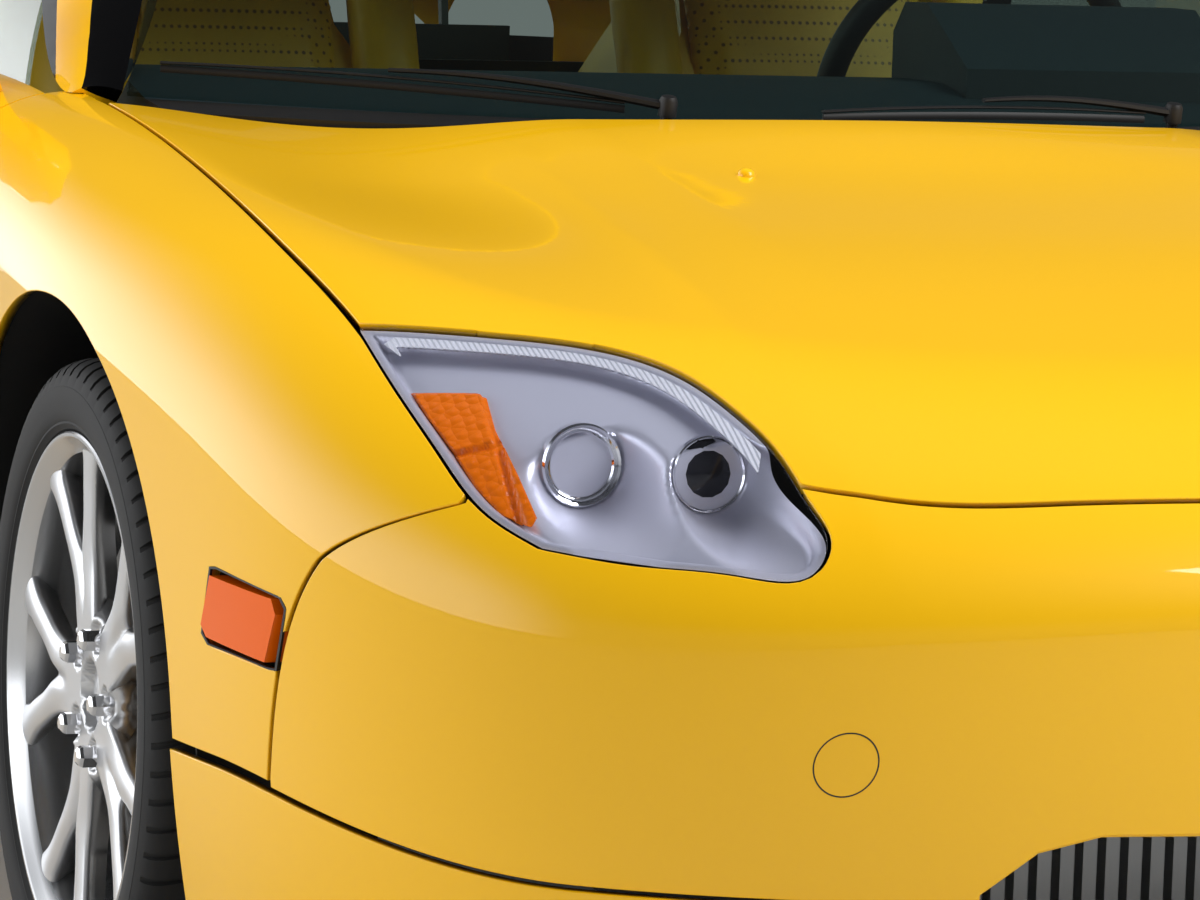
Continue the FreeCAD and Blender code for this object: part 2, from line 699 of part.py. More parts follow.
door_skin = skin_patch(door_front_t, t_door_rear, panel_foot_s, belt_s)


def door_inside(u, v):
    # The door is deep at its foot and leans over to a thin edge at the belt.
    here = door_skin(u, v)
    lean = smooth_step((v - 0.55) / 0.45)
    depth = door_thickness + (16.0 - door_thickness) * lean
    return here - Vector(depth * math.cos(lean * math.pi / 2), 0, depth * math.sin(lean * math.pi / 2))


door = solid_between(door_skin, door_inside, 14, 14)
# The door turns about two upright pins, each held by an arm that reaches into a notch in its front edge.
door_hinge_x, door_hinge_y = 844.0, door_front_y + 70.0
door_hinge_zs = (440.0, 580.0)
door_pin_radius, door_arm_tip, door_eye_radius = 6.0, 9.0, 12.0
door_arm_height, door_eye_height, door_notch_height = 12.0, 34.0, 66.0
door_post_x = 724.0


def upright(radius, height, x, y, z):
    return Part.makeCylinder(radius, height, Vector(x, y, z), Vector(0, 0, 1))


for z in door_hinge_zs:
    eye_z = z + door_arm_height + panel_gap
    notch_foot = z - 6
    door = door.cut(box(door_post_x - 24, door_hinge_x + door_arm_tip + 0.5, door_front_y - 10, door_hinge_y + 20,
                        notch_foot, notch_foot + door_notch_height))
    eye = fused(upright(door_eye_radius, door_eye_height, door_hinge_x, door_hinge_y, eye_z),
                box(door_hinge_x - 22, door_hinge_x + door_eye_radius, door_hinge_y, door_hinge_y + 21, eye_z,
                    eye_z + door_eye_height))
    door = door.fuse(eye.cut(upright(door_pin_radius + seat_clearance, 60, door_hinge_x, door_hinge_y, z)))
door = door.removeSplitter()
add("door_left", door)
add("door_right", mirrored(door))

# Side sills under the doors, between the wheel arches
t_arch_rear_side = outline_at_y(front_axle_y + front_radius + arch_gap)
t_arch_front_side = outline_at_y(rear_axle_y - rear_radius - arch_gap)
tub_half = 740.0
sill_inner_x = tub_half + seat_clearance
sill_skin = skin_patch(t_arch_rear_side + 1, t_arch_front_side - 1, lambda t: share_of_height(t, 141.0),
                       lambda t: share_of_height(t, sill_top_z))


def sill_inside(u, v):
    here = sill_skin(u, v)
    return Vector(sill_inner_x, here.y, here.z)


sill = solid_between(sill_skin, sill_inside, 12, 4)
add("side_sills", both(sill))

# Rear quarters: round the rear arch to the tail, with the flank that rises to the roof rail
t_quarter_front = outline_at_y(door_rear_y) + door_gap


def quarter_top_s(t):
    return share_of_inset(t, inset_to_line(t, lambda y: deck_edge(y)))


quarter_skin = skin_patch(t_quarter_front, t_tail, panel_foot_s, quarter_top_s)
quarter = thick(quarter_skin, 0, skin_thickness, 22, 12)
quarter = quarter.cut(box(300, 1000, rear_axle_y, tail_y, 0, tail_seam_z + 5))
intake = prism([(430.0, 380.0), (520.0, 330.0), (600.0, 700.0), (470.0, 700.0)], 700, ("x", 300.0))
quarter = quarter.cut(rear_arch).cut(intake)
quarter = quarter.cut(plan_region(400.0, deck_edge, 340.0, 2100.0, 600, 1000, 0.0, 17))
add("rear_quarter_left", quarter)
add("rear_quarter_right", mirrored(quarter))

# Rear bumper and the lamp band across the tail
tail_t0 = outline_at_y(rear_axle_y + rear_radius + arch_gap + 2)


def tail_s(z):
    # The share of height z as a function of t, on either side of the tail's middle.
    return lambda t: share_of_height(outline_end - abs(outline_end - t), z)


tail_skin = skin_patch(tail_t0, 2 * outline_end - tail_t0, tail_s(205.0), tail_s(tail_seam_z))
rear_bumper = thick(tail_skin, 0, bumper_thickness, 31, 8)
plate_z, plate_screw_x, plate_screw_radius = 366.0, 88.9, 3.0
for x in (-plate_screw_x, plate_screw_x):
    screw_hole = rod((x, tail_y - 100, plate_z), (x, tail_y + 20, plate_z), plate_screw_radius)
    rear_bumper = rear_bumper.cut(screw_hole)
panel_skin = skin_patch(t_tail + 3, 2 * outline_end - t_tail - 3, tail_s(tail_seam_z + 0.5), tail_s(760.0))
tail_panel = thick(panel_skin, 0, bumper_thickness, 21, 6)
lamp_block = thick(panel_skin, -1.0, 45.0, 21, 6)
tail_lamp_cut = box(330, 900, 1900, 2300, *lamp_band)
tail_panel = tail_panel.cut(tail_lamp_cut).cut(mirrored(tail_lamp_cut))
lamp_half = lamp_block.common(box(330 + seat_clearance, 900, 1900, 2300, lamp_band[0] + seat_clearance,
                                  lamp_band[1] - seat_clearance))
add("tail_panel", tail_panel)
add("tail_lamps", both(lamp_half))

# Boot lid with its wing
def deck_point(u, v):
    y = deck_front_y + (deck_rear_y - deck_front_y) * v
    x = (2 * u - 1) * (deck_edge(y) - panel_gap)
    return Vector(x, y, panel_height(x, y))


deck = thick(deck_point, 0, bonnet_thickness, 13, 8)
deck_hinge = (deck_front_y - 4.0, 860.0)
for x in (-380.0, 380.0):
    knuckle = fused(rod((x, *deck_hinge), (x + 24, *deck_hinge), 9.0),
                    box(x, x + 24, deck_hinge[0], deck_front_y + 12, 856, 876))
    pin_hole = rod((x - 1, *deck_hinge), (x + 30, *deck_hinge), hinge_pin_radius + seat_clearance)
    deck = deck.fuse(knuckle.cut(pin_hole))


# The cabin's upper shape: one crowned surface from the windscreen's foot over the roof to the engine hatch
roof_line = Spline([-385.0, -20.0, 330.0, 900.0, 1440.0], [1122.0, 1170.0, 1140.0, 1030.0, 897.0])
roof_crown = 26.0
rail_x = Spline([-385.0, -20.0, 330.0, 900.0, 1440.0], [503.0, 522.0, 520.0, 540.0, 565.0])
screen_foot_y, screen_foot_side_y, screen_foot_x = -1020.0, -812.0, 692.0
screen_head_y, screen_head_side_y = -395.0, -345.0
pillar_gap = 4.0
pillar_depth = 34.0


def roof_height(x, y):
    return roof_line(y) - roof_crown * (x / 520.0) ** 2


def screen_point(u, v):
    # u runs across from side to side and v from the foot to the head.
    a = 2 * u - 1
    head_x = rail_x(screen_head_side_y) - 4
    foot_y = lerp(screen_foot_y, screen_foot_side_y, a * a)
    foot = Vector(screen_foot_x * a, foot_y, 806.0 + 9 * a * a)
    head = Vector(head_x * a, screen_head_y + (screen_head_side_y - screen_head_y) * a * a,
                  roof_height(head_x * a, screen_head_y + (screen_head_side_y - screen_head_y) * a * a) - 3)
    bulge = 4 * v * (1 - v) * 20.0
    return foot + (head - foot) * v + Vector(0, -bulge * 0.42, bulge * 0.9)


add("windscreen", thick(screen_point, 0, glass_thickness, 15, 7))

# Roof panel between the rails
roof_front_gap, roof_rear_y = 1.0, 330.0


def roof_point(u, v):
    a = 2 * u - 1
    front = screen_head_y + (screen_head_side_y - screen_head_y) * a * a + roof_front_gap
    y = lerp(front, roof_rear_y, v)
    x = a * (rail_x(y) + 0.2)
    return Vector(x, y, roof_height(x, y))


hatch_hinge = (roof_rear_y + 6.0, 1126.0)
roof = [thick(roof_point, 0, 14.0, 13, 8)]
for x in (-300.0, 300.0):
    roof.append(box(x - 16, x - 10, roof_rear_y - 6, roof_rear_y + 9, 1119, 1129))
    roof.append(rod((x - 16, *hatch_hinge), (x + 14, *hatch_hinge), 3.0))
add("roof_panel", fused(*roof))

# Engine hatch: the long rear window behind the roof
hatch_front_y, hatch_rear_y = roof_rear_y + 12.0, 1432.0


def hatch_point(u, v):
    y = lerp(hatch_front_y, hatch_rear_y, v)
    x = (2 * u - 1) * (rail_x(y) - 3)
    return Vector(x, y, roof_height(x, y))


hatch = [thick(hatch_point, 0, 8.0, 13, 10)]
for x in (-300.0, 300.0):
    knuckle = fused(rod((x - 9, *hatch_hinge), (x + 12, *hatch_hinge), 4.8),
                    box(x - 9, x + 12, hatch_hinge[0], hatch_front_y + 4, 1122, 1129))
    hatch.append(knuckle.cut(rod((x - 20, *hatch_hinge), (x + 20, *hatch_hinge), 3.0 + seat_clearance)))
add("engine_hatch", fused(*hatch))

# Cabin frame: front pillars, roof rails, rear flanks

def rail_point(y):
    return Vector(rail_x(y), y, roof_height(rail_x(y), y))


def belt_point(y):
    t = outline_at_y(y)
    return skin(t, belt_s(t))


glass_foot_front, glass_foot_rear = -672.0, 296.0
glass_head_front, glass_head_rear = -268.0, 276.0
rail_width = 34.0


def glass_point(u, v):
    # The side window, from the belt to the roof rail.
    foot = belt_point(lerp(glass_foot_front, glass_foot_rear, u)) + Vector(-0.8, 0, -8.0)
    y = lerp(glass_head_front, glass_head_rear, u)
    head = rail_point(y) + Vector(rail_width - 3, 0, -rail_width - 9)
    return lerp(foot, head, v) + Vector(22.0, 0, 8.0) * (4 * v * (1 - v))


side_glass = thick(glass_point, 0, glass_thickness, 9, 6)
add("door_glass_left", side_glass)
add("door_glass_right", mirrored(side_glass))


def pillar_point(u, v):
    # The front pillar fills the strip between the windscreen's side edge and the window's front edge.
    inner = screen_point(1.0, v) + Vector(pillar_gap, 0, 1.0)
    outer = glass_point(0.0, v) + Vector(6.0, -pillar_gap - 9, 3.0)
    foot = Vector(745.0, -800.0, 812.0)
    outer = lerp(foot, outer, min(1.0, v * 3)) if v < 1 / 3 else outer
    return lerp(inner, outer, u) + Vector(4.0, -2, 6.0) * (4 * u * (1 - u))


pillar = thick(pillar_point, 0, pillar_depth, 4, 10)


def rail_strip(u, v):
    y = lerp(screen_head_side_y + 4, hatch_rear_y - 4, v)
    inner = rail_point(y)
    if y < glass_head_rear:
        outer = inner + Vector(rail_width - 4, 0, -rail_width * 0.62)
    else:
        share = smooth_step((y - glass_head_rear) / 120)
        top = panel_height(deck_edge(y) + 3, y) + 1.0
        beside = inner + Vector(rail_width - 4, 0, -rail_width * 0.62)
        outer = lerp(beside, Vector(deck_edge(y) - 4, y, top), share)
    bulge = 4 + 22 * smooth_step((y - 300) / 300)
    return lerp(inner, outer, u) + Vector(0.25, 0, 0.8) * (4 * u * (1 - u)) * bulge


rail = thick(rail_strip, 0, 22.0, 6, 22)
rail = rail.cut(plan_region(300.0, rail_x, screen_head_side_y - 8, 1440.0, 800, 1200, 0.9, 13))
rail = rail.cut(plan_region(900.0, deck_edge, 350.0, 1500.0, 700, 1000, -seat_clearance, 13))
pillar = pillar.cut(box(732.0, 800.0, -840.0, -772.0, 700, 813))
# The side window keeps a channel clear of the frame, a little larger than the glass all round.
window_room = thick(lambda u, v: glass_point(lerp(-0.006, 1.006, u), lerp(0.0, 1.02, v)),
                    -12.0, glass_thickness + 5.0, 9, 6)
# Room for the roof panel's edges, a little wider and longer than the panel
roof_room = thick(lambda u, v: roof_point(lerp(-0.0008, 1.0008, u), lerp(-0.002, 1.0, v)), -6.0, 20.0, 13, 8)
frame_side = max(fused(pillar, rail).cut(window_room).cut(roof_room).Solids, key=lambda solid: solid.Volume)
add("cabin_frame", both(frame_side))


# The space inside the skin, so that what stands against the panels from within ends just short of them
inside_depth = skin_thickness + seat_clearance


def inside_of_skin(y0, y1, top_line, depth):
    patch = skin_patch(outline_at_y(y0), outline_at_y(y1), 0.02,
                       lambda t: share_of_inset(t, inset_to_line(t, top_line)))

    def under_skin(u, v):
        return patch(u, v) - normal_at(patch, u, v) * depth

    def near_middle(u, v):
        return Vector(60.0, patch(u, v).y, under_skin(u, v).z)
    return solid_between(under_skin, near_middle, 20, 12)


front_inside = inside_of_skin(-1700.0, -800.0, bonnet_edge, inside_depth + 1.5)
rear_inside = inside_of_skin(door_rear_y + 20, 1950.0, deck_edge, inside_depth)

# Wheel arch liners between the frame's side walls and the panels
frame_half = 468.0
liners = []
for place, x, y, tyre_radius, tyre_half, rim_half, face_x in wheel_rows:
    outer = arch_solid(y, tyre_radius, liner_gap + liner_thickness, frame_half + seat_clearance, 1000)
    inner = arch_solid(y, tyre_radius, liner_gap, frame_half - 1, 1001)
    liner = outer.cut(inner).cut(box(0, 1001, -2300, 2300, -60, sill_top_z + 2))
    liner = liner.common(front_inside if place == "front" else rear_inside)
    liners += [liner, mirrored(liner)]
add("arch_liners", Part.makeCompound(liners))

# Cabin tub: floor, tunnel, sills, the wall in front of the feet and the wall behind the seats
floor_z, floor_top = 150.0, 168.0
foot_wall_y, back_wall_y = -938.0, 338.0
wall = 14.0
tunnel_half, tunnel_top = 105.0, 395.0
cowl_z = 786.0
tub = [box(-tub_half, tub_half, foot_wall_y, back_wall_y + wall, floor_z, floor_top),
       box(-tunnel_half, tunnel_half, foot_wall_y, back_wall_y + wall, floor_z, tunnel_top),
       box(-715.0, 715.0, foot_wall_y, foot_wall_y + wall, floor_z, 700.0),
       box(-tub_half, tub_half, back_wall_y, back_wall_y + wall, floor_z, 800.0)]
for x0 in (-tub_half, tub_half - 95):
    tub.append(box(x0, x0 + 95, foot_wall_y, back_wall_y + wall, floor_z, sill_top_z - 4))
for side in (1, -1):
    lug_outline = [(foot_wall_y, 600), (foot_wall_y + wall, 600), (-858, 780), (-858, 797), (-872, 797), (-880, 780)]
    lug = prism(lug_outline, 702.0, ("x", 10.0))
    lug = fused(lug, rod((685, *bonnet_hinge), (711, *bonnet_hinge), hinge_pin_radius))
    # The post in front of the door carries two hinges, each an arm with an upright pin.
    post = [box(door_post_x - 34, door_post_x, door_hinge_y - 32, door_hinge_y + 24, sill_top_z - 20, 640)]
    for z in door_hinge_zs:
        post.append(box(door_post_x - 10, door_hinge_x, door_hinge_y - door_arm_tip, door_hinge_y + door_arm_tip,
                        z, z + door_arm_height))
        post.append(upright(door_arm_tip, door_arm_height, door_hinge_x, door_hinge_y, z))
        post.append(upright(door_pin_radius, 52, door_hinge_x, door_hinge_y, z))
    post = fused(*post)
    tub += [lug, post] if side > 0 else [mirrored(lug), mirrored(post)]
tub = fused(*tub).cut(box(-tunnel_half + wall, tunnel_half - wall, foot_wall_y - 1, back_wall_y + wall + 1,
                          floor_z - 1, tunnel_top - wall))
add("cabin_tub", tub)

# Front frame: side walls with the luggage box between them, a cross beam and the carriers of the headlamps
frame_wall, frame_floor_z, frame_top_z = 26.0, 175.0, 640.0
frame_front_y, frame_rear_y = nose_y + 252.5, tail_y - 262.5
wall_foot_y = foot_wall_y - seat_clearance
front_frame = [box(-frame_half, frame_half, foot_wall_y - 12, wall_foot_y, frame_floor_z, frame_top_z - 20),
               box(-frame_half, frame_half, frame_front_y, wall_foot_y, frame_floor_z, frame_floor_z + 12),
               box(-frame_half, frame_half, frame_front_y, frame_front_y + 12, frame_floor_z, 480)]
wall_side = [(frame_front_y, frame_floor_z), (wall_foot_y, frame_floor_z), (wall_foot_y, frame_top_z),
             (front_axle_y - 222.5, frame_top_z - 20), (frame_front_y, 480)]
for x0 in (-frame_half, frame_half - frame_wall):
    front_frame.append(prism(wall_side, x0, ("x", frame_wall)))
rack_y, rack_z = front_axle_y + 112.5, 231.0
front_frame = fused(*front_frame)
rack_hole = rod((-frame_half - 32, rack_y, rack_z), (frame_half + 32, rack_y, rack_z), 21.0)
front_frame = front_frame.cut(rack_hole)
beam_skin = skin_patch(-640.0, 640.0, lambda t: share_of_height(abs(t), 395.0),
                       lambda t: share_of_height(abs(t), 470.0))
lamp_carrier = box(frame_half - frame_wall, frame_half + 142, frame_front_y + 55, frame_front_y + 85, 470, 640)
lamp_carrier = max(lamp_carrier.cut(housing).Solids, key=lambda s: -s.CenterOfMass.z)
beam = thick(beam_skin, bumper_thickness + seat_clearance, bumper_thickness + 50, 15, 4)
beam_arms = [box(x0, x0 + 60, frame_front_y - 180, frame_front_y + 5, 400, 465) for x0 in (-430, 370)]
front_frame = fused(front_frame, beam, lamp_carrier, mirrored(lamp_carrier), *beam_arms)
add("front_frame", front_frame)

# Radiator behind the grille, with upright fins
radiator_y = frame_front_y - 30.0
radiator = box(-330, 330, radiator_y - 42, radiator_y, 196, 388)
for k in range(33):
    radiator = radiator.cut(box(-320 + 20 * k, -312 + 20 * k, radiator_y - 50, radiator_y - 26, 206, 378))
for x in (-300, 260):
    radiator = radiator.fuse(box(x, x + 40, radiator_y, frame_front_y - seat_clearance, 250, 330))
add("radiator", radiator.removeSplitter())

# Rear frame, engine and exhaust
rear_start_y = back_wall_y + wall + seat_clearance
rear_floor_z, rear_plate = 190.0, 14.0
boot_front_y, boot_rear_y = 1450.0, frame_rear_y - rear_plate
rear_floor_top = rear_floor_z + rear_plate
rear_frame = [box(-frame_half, frame_half, rear_start_y, boot_front_y, rear_floor_z, rear_floor_top)]
for x0 in (-frame_half, frame_half - frame_wall):
    wall_side = [(rear_start_y, rear_floor_z), (frame_rear_y, rear_floor_z), (frame_rear_y, 560),
                 (frame_rear_y - 350, 690), (rear_start_y, 690)]
    rear_frame.append(prism(wall_side, x0, ("x", frame_wall)))
rear_frame.append(box(-frame_half, frame_half, boot_front_y - rear_plate, boot_front_y, rear_floor_z, 800))
for x in (-380.0, 380.0):
    lug_outline = [(1438, 780), (1450, 780), (1466, 852), (1462, 868), (1450, 866)]
    rear_frame.append(prism(lug_outline, x - 12, ("x", 10.0)))
    rear_frame.append(rod((x - 12, *deck_hinge), (x + 26, *deck_hinge), hinge_pin_radius))
tail_beam_skin = skin_patch(outline_end - 560, outline_end + 560, tail_s(385.0), tail_s(455.0))
rear_frame.append(thick(tail_beam_skin, bumper_thickness + seat_clearance, bumper_thickness + 44, 15, 4))
rear_frame += [box(x, x + 60, frame_rear_y - 5, frame_rear_y + 194, 395, 445) for x in (-430, 370)]
rear_frame.append(box(-frame_half, frame_half, boot_rear_y, frame_rear_y, rear_floor_z, 560))
add("rear_frame", fused(*rear_frame))

# The floor of the rear luggage space lies between the frame's four walls.
floor_half = frame_half - frame_wall - seat_clearance
add("rear_luggage_floor", box(-floor_half, floor_half, boot_front_y + seat_clearance,
                              boot_rear_y - seat_clearance, rear_floor_z, rear_floor_top))

# The towing eye: an upright plate on a flange, under the rear frame's floor
tow_eye_y, tow_eye_z, tow_eye_radius, tow_eye_half = frame_rear_y + 35, 168.0, 12.0, 5.0
eye_top_z, eye_rim = rear_floor_z - seat_clearance, tow_eye_radius * 2
eye_side = [(-85, eye_top_z), (-85, eye_top_z - 24), (-22, tow_eye_z - eye_rim), (12, tow_eye_z - eye_rim),
            (25, tow_eye_z - 12), (25, tow_eye_z + 12), (12, tow_eye_z + eye_rim), (-30, tow_eye_z + eye_rim),
            (-37, eye_top_z)]
eye_plate = prism([(tow_eye_y + off, z) for off, z in eye_side], -tow_eye_half, ("x", 2 * tow_eye_half))
eye_flange = box(-32, 32, tow_eye_y - 85, tow_eye_y - 40, eye_top_z - 8, eye_top_z)
tow_hole = rod((-50, tow_eye_y, tow_eye_z), (50, tow_eye_y, tow_eye_z), tow_eye_radius)
add("rear_tow_eye", fused(eye_plate, eye_flange).cut(tow_hole))
engine = fused(box(-290, 290, 560, 1180, rear_floor_top + seat_clearance, 560),
               box(-330, 330, 600, 1120, 560, 690),
               box(-60, 60, 620, 1100, 690, 730))
add("engine", engine)
pipe_xs, pipe_z, pipe_radius = (-345.0, -265.0, 265.0, 345.0), 262.0, 34.0
box_front_y, box_rear_y, pipe_end_y = frame_rear_y + 40, frame_rear_y + 135, tail_y - 18.5
exhaust = [box(-430, 430, box_front_y, box_rear_y, 235, 370)]
for x in pipe_xs:
    pipe = rod((x, box_rear_y - 5, pipe_z), (x, pipe_end_y, pipe_z), pipe_radius)
    exhaust.append(pipe.cut(rod((x, box_rear_y + 45, pipe_z), (x, pipe_end_y + 6, pipe_z), pipe_radius - 4)))
for x in (-380, 380):
    exhaust.append(box(x - 12, x + 12, frame_rear_y + seat_clearance, box_front_y + 5, 300, 340))
exhaust = fused(*exhaust)
add("exhaust", exhaust)
for x in pipe_xs:
    rear_bumper = rear_bumper.cut(rod((x, tail_y - 150, pipe_z), (x, tail_y + 40, pipe_z), pipe_radius + 8))
add("rear_bumper", rear_bumper)

# Knuckles, brake calipers and control arms. The front wheels steer about upright pins.
kingpin_x = 728.0
pin_radius, pin_clearance = 9.0, 0.3
upright_half, upright_low, upright_high = 28.0, 112.0, 126.0
arm_thickness = 16.0


def knuckle_shape(y, z, face_x, caliper_side):
    disc_x = face_x - disc_inset
    back = disc_x - 82
    body = fused(box(back, back + 36, y - upright_half, y + upright_half, z - upright_low, z + upright_high),
                 ring(back, back + 36, y, z, 52.0))
    profile = [(-61, 92.0), (-33, 92.0), (-33, 156.0), (5, 156.0), (5, 92.0), (16, 92.0), (16, 186.0),
               (-61, 186.0)]
    start = math.radians(-25)
    turn = [Vector(disc_x + a, y + caliper_side * r * math.cos(start), z + r * math.sin(start))
            for a, r in profile]
    caliper = Part.Face(Part.makePolygon(turn + turn[:1])).revolve(
        Vector(disc_x, y, z), Vector(1, 0, 0), 50 * caliper_side)
    bracket_ys = sorted((y + caliper_side * 20, y + caliper_side * 110))
    bracket = box(disc_x - 61, back + 36, *bracket_ys, z - 22, z + 22)
    body = fused(body, caliper, bracket)
    return body.cut(ring(back - 1, disc_x + 1, y, z, axle_bore))


def arm_shape(y, z, inner_x, spread):
    # A wishbone in plan: narrow as far as the tyre's edge, then spread to the frame.
    points = [(kingpin_x + 22, y - 22), (600.0, y - 30), (inner_x, y - spread), (inner_x, y - spread + 44),
              (590.0, y - 2), (590.0, y + 2), (inner_x, y + spread - 44), (inner_x, y + spread), (600.0, y + 30),
              (kingpin_x + 22, y + 22)]
    return prism(points, z, ("z", arm_thickness))


front_knuckle = knuckle_shape(front_axle_y, front_radius, front_wheel[6], -1)
for z in (front_radius - upright_low - 1, front_radius + upright_high + 1):
    up = 1 if z < front_radius else -1
    front_knuckle = front_knuckle.cut(rod((kingpin_x, front_axle_y, z), (kingpin_x, front_axle_y, z + up * 32),
                                          pin_radius + pin_clearance))
arm_z = rack_z + 16
steer_arm = prism([(706.5, front_axle_y + 10), (736, front_axle_y + 10), (704, rack_y + 14), (676, rack_y + 14),
                   (676, rack_y - 12)], arm_z, ("z", 12.0))
front_knuckle = fused(front_knuckle, steer_arm)
add("knuckle_front_left", front_knuckle)
add("knuckle_front_right", mirrored(front_knuckle))

suspension_front = []
for sign in (-1, 1):
    z = front_radius + (upright_high + 4 if sign > 0 else -upright_low - 4 - arm_thickness)
    arm = arm_shape(front_axle_y, z, frame_half + seat_clearance, 112.0)
    foot_z = front_radius + (upright_high - 24 if sign > 0 else -upright_low - 6)
    pin = Part.makeCylinder(pin_radius, 30, Vector(kingpin_x, front_axle_y, foot_z), Vector(0, 0, 1))
    arm = fused(arm, pin)
    suspension_front += [arm, mirrored(arm)]
rack_housing = rod((-300, rack_y, rack_z), (300, rack_y, rack_z), 24).cut(
    rod((-301, rack_y, rack_z), (301, rack_y, rack_z), 12.0 + bearing_clearance))
rack_housing = fused(rack_housing, *[box(x - 15, x + 15, rack_y - 15, rack_y + 15, 187.3, rack_z - 18)
                                     for x in (-220, 220)])
suspension_front.append(rack_housing)
add("suspension_front", Part.makeCompound(suspension_front))

rack = [rod((-676, rack_y, rack_z), (676, rack_y, rack_z), 12.0)]
for x in (-690, 690):
    rack.append(rod((x, rack_y, rack_z - 9), (x, rack_y, rack_z + 9), 16.0))
add("steering_rack", fused(*rack))

rear_knuckle = knuckle_shape(rear_axle_y, rear_radius, rear_wheel[6], 1)
rear_parts = [rear_knuckle]
rear_back = rear_wheel[6] - disc_inset - 82
for z in (rear_radius - upright_low + 8, rear_radius + upright_high - 40):
    half_arm = [(rear_back, 26), (600, 34), (frame_half + seat_clearance, 150), (frame_half + seat_clearance, 100),
                (600, 4)]
    points = [(px, rear_axle_y - off) for px, off in half_arm] + [(px, rear_axle_y + off) for px, off in half_arm[::-1]]
    rear_parts.append(prism(points, z, ("z", arm_thickness)))
rear_side = fused(*rear_parts)
add("suspension_rear", both(rear_side))

# Cowl, wipers, dashboard, seats, steering wheel, mirrors, wing, small pieces
screen_gap = 4.0
cowl_half = 674.0


def cowl_point(u, v):
    a = 2 * u - 1
    x = cowl_half * a
    front = bonnet_rear(x) + 6
    rear = screen_foot_y + (screen_foot_side_y - screen_foot_y) * a * a - screen_gap
    y = lerp(front, rear, v)
    return Vector(x, y, 795.0 + 8 * v + 6 * a * a)


cowl = thick(cowl_point, 0, 9.0, 13, 4)


def wiper(pivot, tip, lift):
    # An arm and its blade, lying just above the cowl and the foot of the windscreen.
    a, b = Vector(*pivot), Vector(*tip)
    along = b - a
    across = along.cross(Vector(0, 0, 1))
    across.normalize()
    points = []
    for share, half in ((0.0, 11.0), (0.45, 6.0), (1.0, 4.0)):
        points.append((a + along * share, half))
    strip = [p + across * h for p, h in points] + [p - across * h for p, h in points[::-1]]
    blade = Part.Face(Part.makePolygon(strip + strip[:1])).extrude(Vector(0, 0, 7))
    stalk = Part.makeCylinder(10, lift, a - Vector(0, 0, lift - 3), Vector(0, 0, 1))
    return fused(blade, stalk)


wiper_pivots = [(-215.0, -1030.0, 812.0), (330.0, -1010.0, 812.0)]
wiper_tips = [(-665.0, -835.0, 838.0), (-60.0, -1046.0, 812.0)]
wiper_right, wiper_left = [wiper(a, b, 16.0) for a, b in zip(wiper_pivots, wiper_tips)]
for x, y, z in wiper_pivots:
    cowl = cowl.cut(Part.makeCylinder(10.0 + seat_clearance, 60, Vector(x, y, z - 40), Vector(0, 0, 1)))
add("cowl_panel", cowl)
add("wipers", Part.makeCompound([wiper_right, wiper_left]))

dash_half = 672.0
dash_side = [(-922, 560), (-700, 470), (-620, 480), (-560, 640), (-545, 790), (-600, 832), (-700, 832), (-870, 795),
             (-922, 700)]
dash = prism(dash_side, -dash_half, ("x", 2 * dash_half))
console = prism([(-640, 395.3), (-640, 640), (-560, 640), (-420, 500), (-60, 460), (180, 450), (180, 395.3)],
                -95.0, ("x", 190.0))
hood_side = [(-760, 815), (-560, 815), (-560, 880), (-590, 912), (-650, 912), (-760, 850)]
hood = prism(hood_side, 215.0, ("x", 310.0))
dash = fused(dash, console, hood)
column_a, column_b = Vector(372.0, -700.0, 690.0), Vector(372.0, -420.0, 812.0)
column_axis = column_b - column_a
column_axis.normalize()
dash = fused(dash, Part.makeCylinder(34, 190, column_a, column_axis))
dash = dash.cut(Part.makeCylinder(15.3, 320, column_a + column_axis * 90, column_axis))
dash = dash.cut(thick(cowl_point, -30.0, 9.0 + seat_clearance, 13, 4))
add("dashboard", dash)

wheel_ring = Part.makeTorus(172.0, 15.0, Vector(0, 0, 0), Vector(0, 0, 1))
spokes = [Part.makeCylinder(46, 38, Vector(0, 0, -22), Vector(0, 0, 1))]
for angle in (0, 90, 180):
    arm = box(20, 166, -15, 15, -16, -4)
    arm.rotate(Vector(0, 0, 0), Vector(0, 0, 1), angle - 90 if angle == 90 else angle)
    spokes.append(arm)
lower_spoke = box(-14, 14, -166, -20, -16, -4)
spokes = [spokes[0], spokes[1], spokes[3], lower_spoke]
hand_wheel = fused(wheel_ring, *spokes, Part.makeCylinder(15, 180, Vector(0, 0, -190), Vector(0, 0, 1)))
hand_wheel.rotate(Vector(0, 0, 0), Vector(1, 0, 0), math.degrees(math.atan2(-column_axis.y, column_axis.z)))
hand_wheel.translate(column_b)
add("steering_wheel", hand_wheel)

seat_x = 367.0


def seat_shape(x):
    cushion = prism([(-560, 250), (-70, 200), (-70, 330), (-200, 330), (-540, 375), (-570, 330)], x - 245,
                    ("x", 490.0))
    back_side = [(-68, 200), (60, 200), (318, 780), (300, 1040), (236, 1060), (170, 1010), (40, 800), (-68, 420)]
    back = prism(back_side, x - 250, ("x", 500.0))
    seat = fused(cushion, back)
    for side in (-1, 1):
        edge = x + side * 250
        seat = seat.cut(prism([(edge, 1100), (edge, 700), (edge - side * 95, 850), (edge - side * 125, 1100)], -300,
                              ("y", 800.0)))
    return seat


for name, x in (("seat_left", seat_x), ("seat_right", -seat_x)):
    rails = [box(x + d - 12, x + d + 12, -500, 10, floor_top + seat_clearance, 215) for d in (-200, 200)]
    add(name, fused(seat_shape(x), *rails))

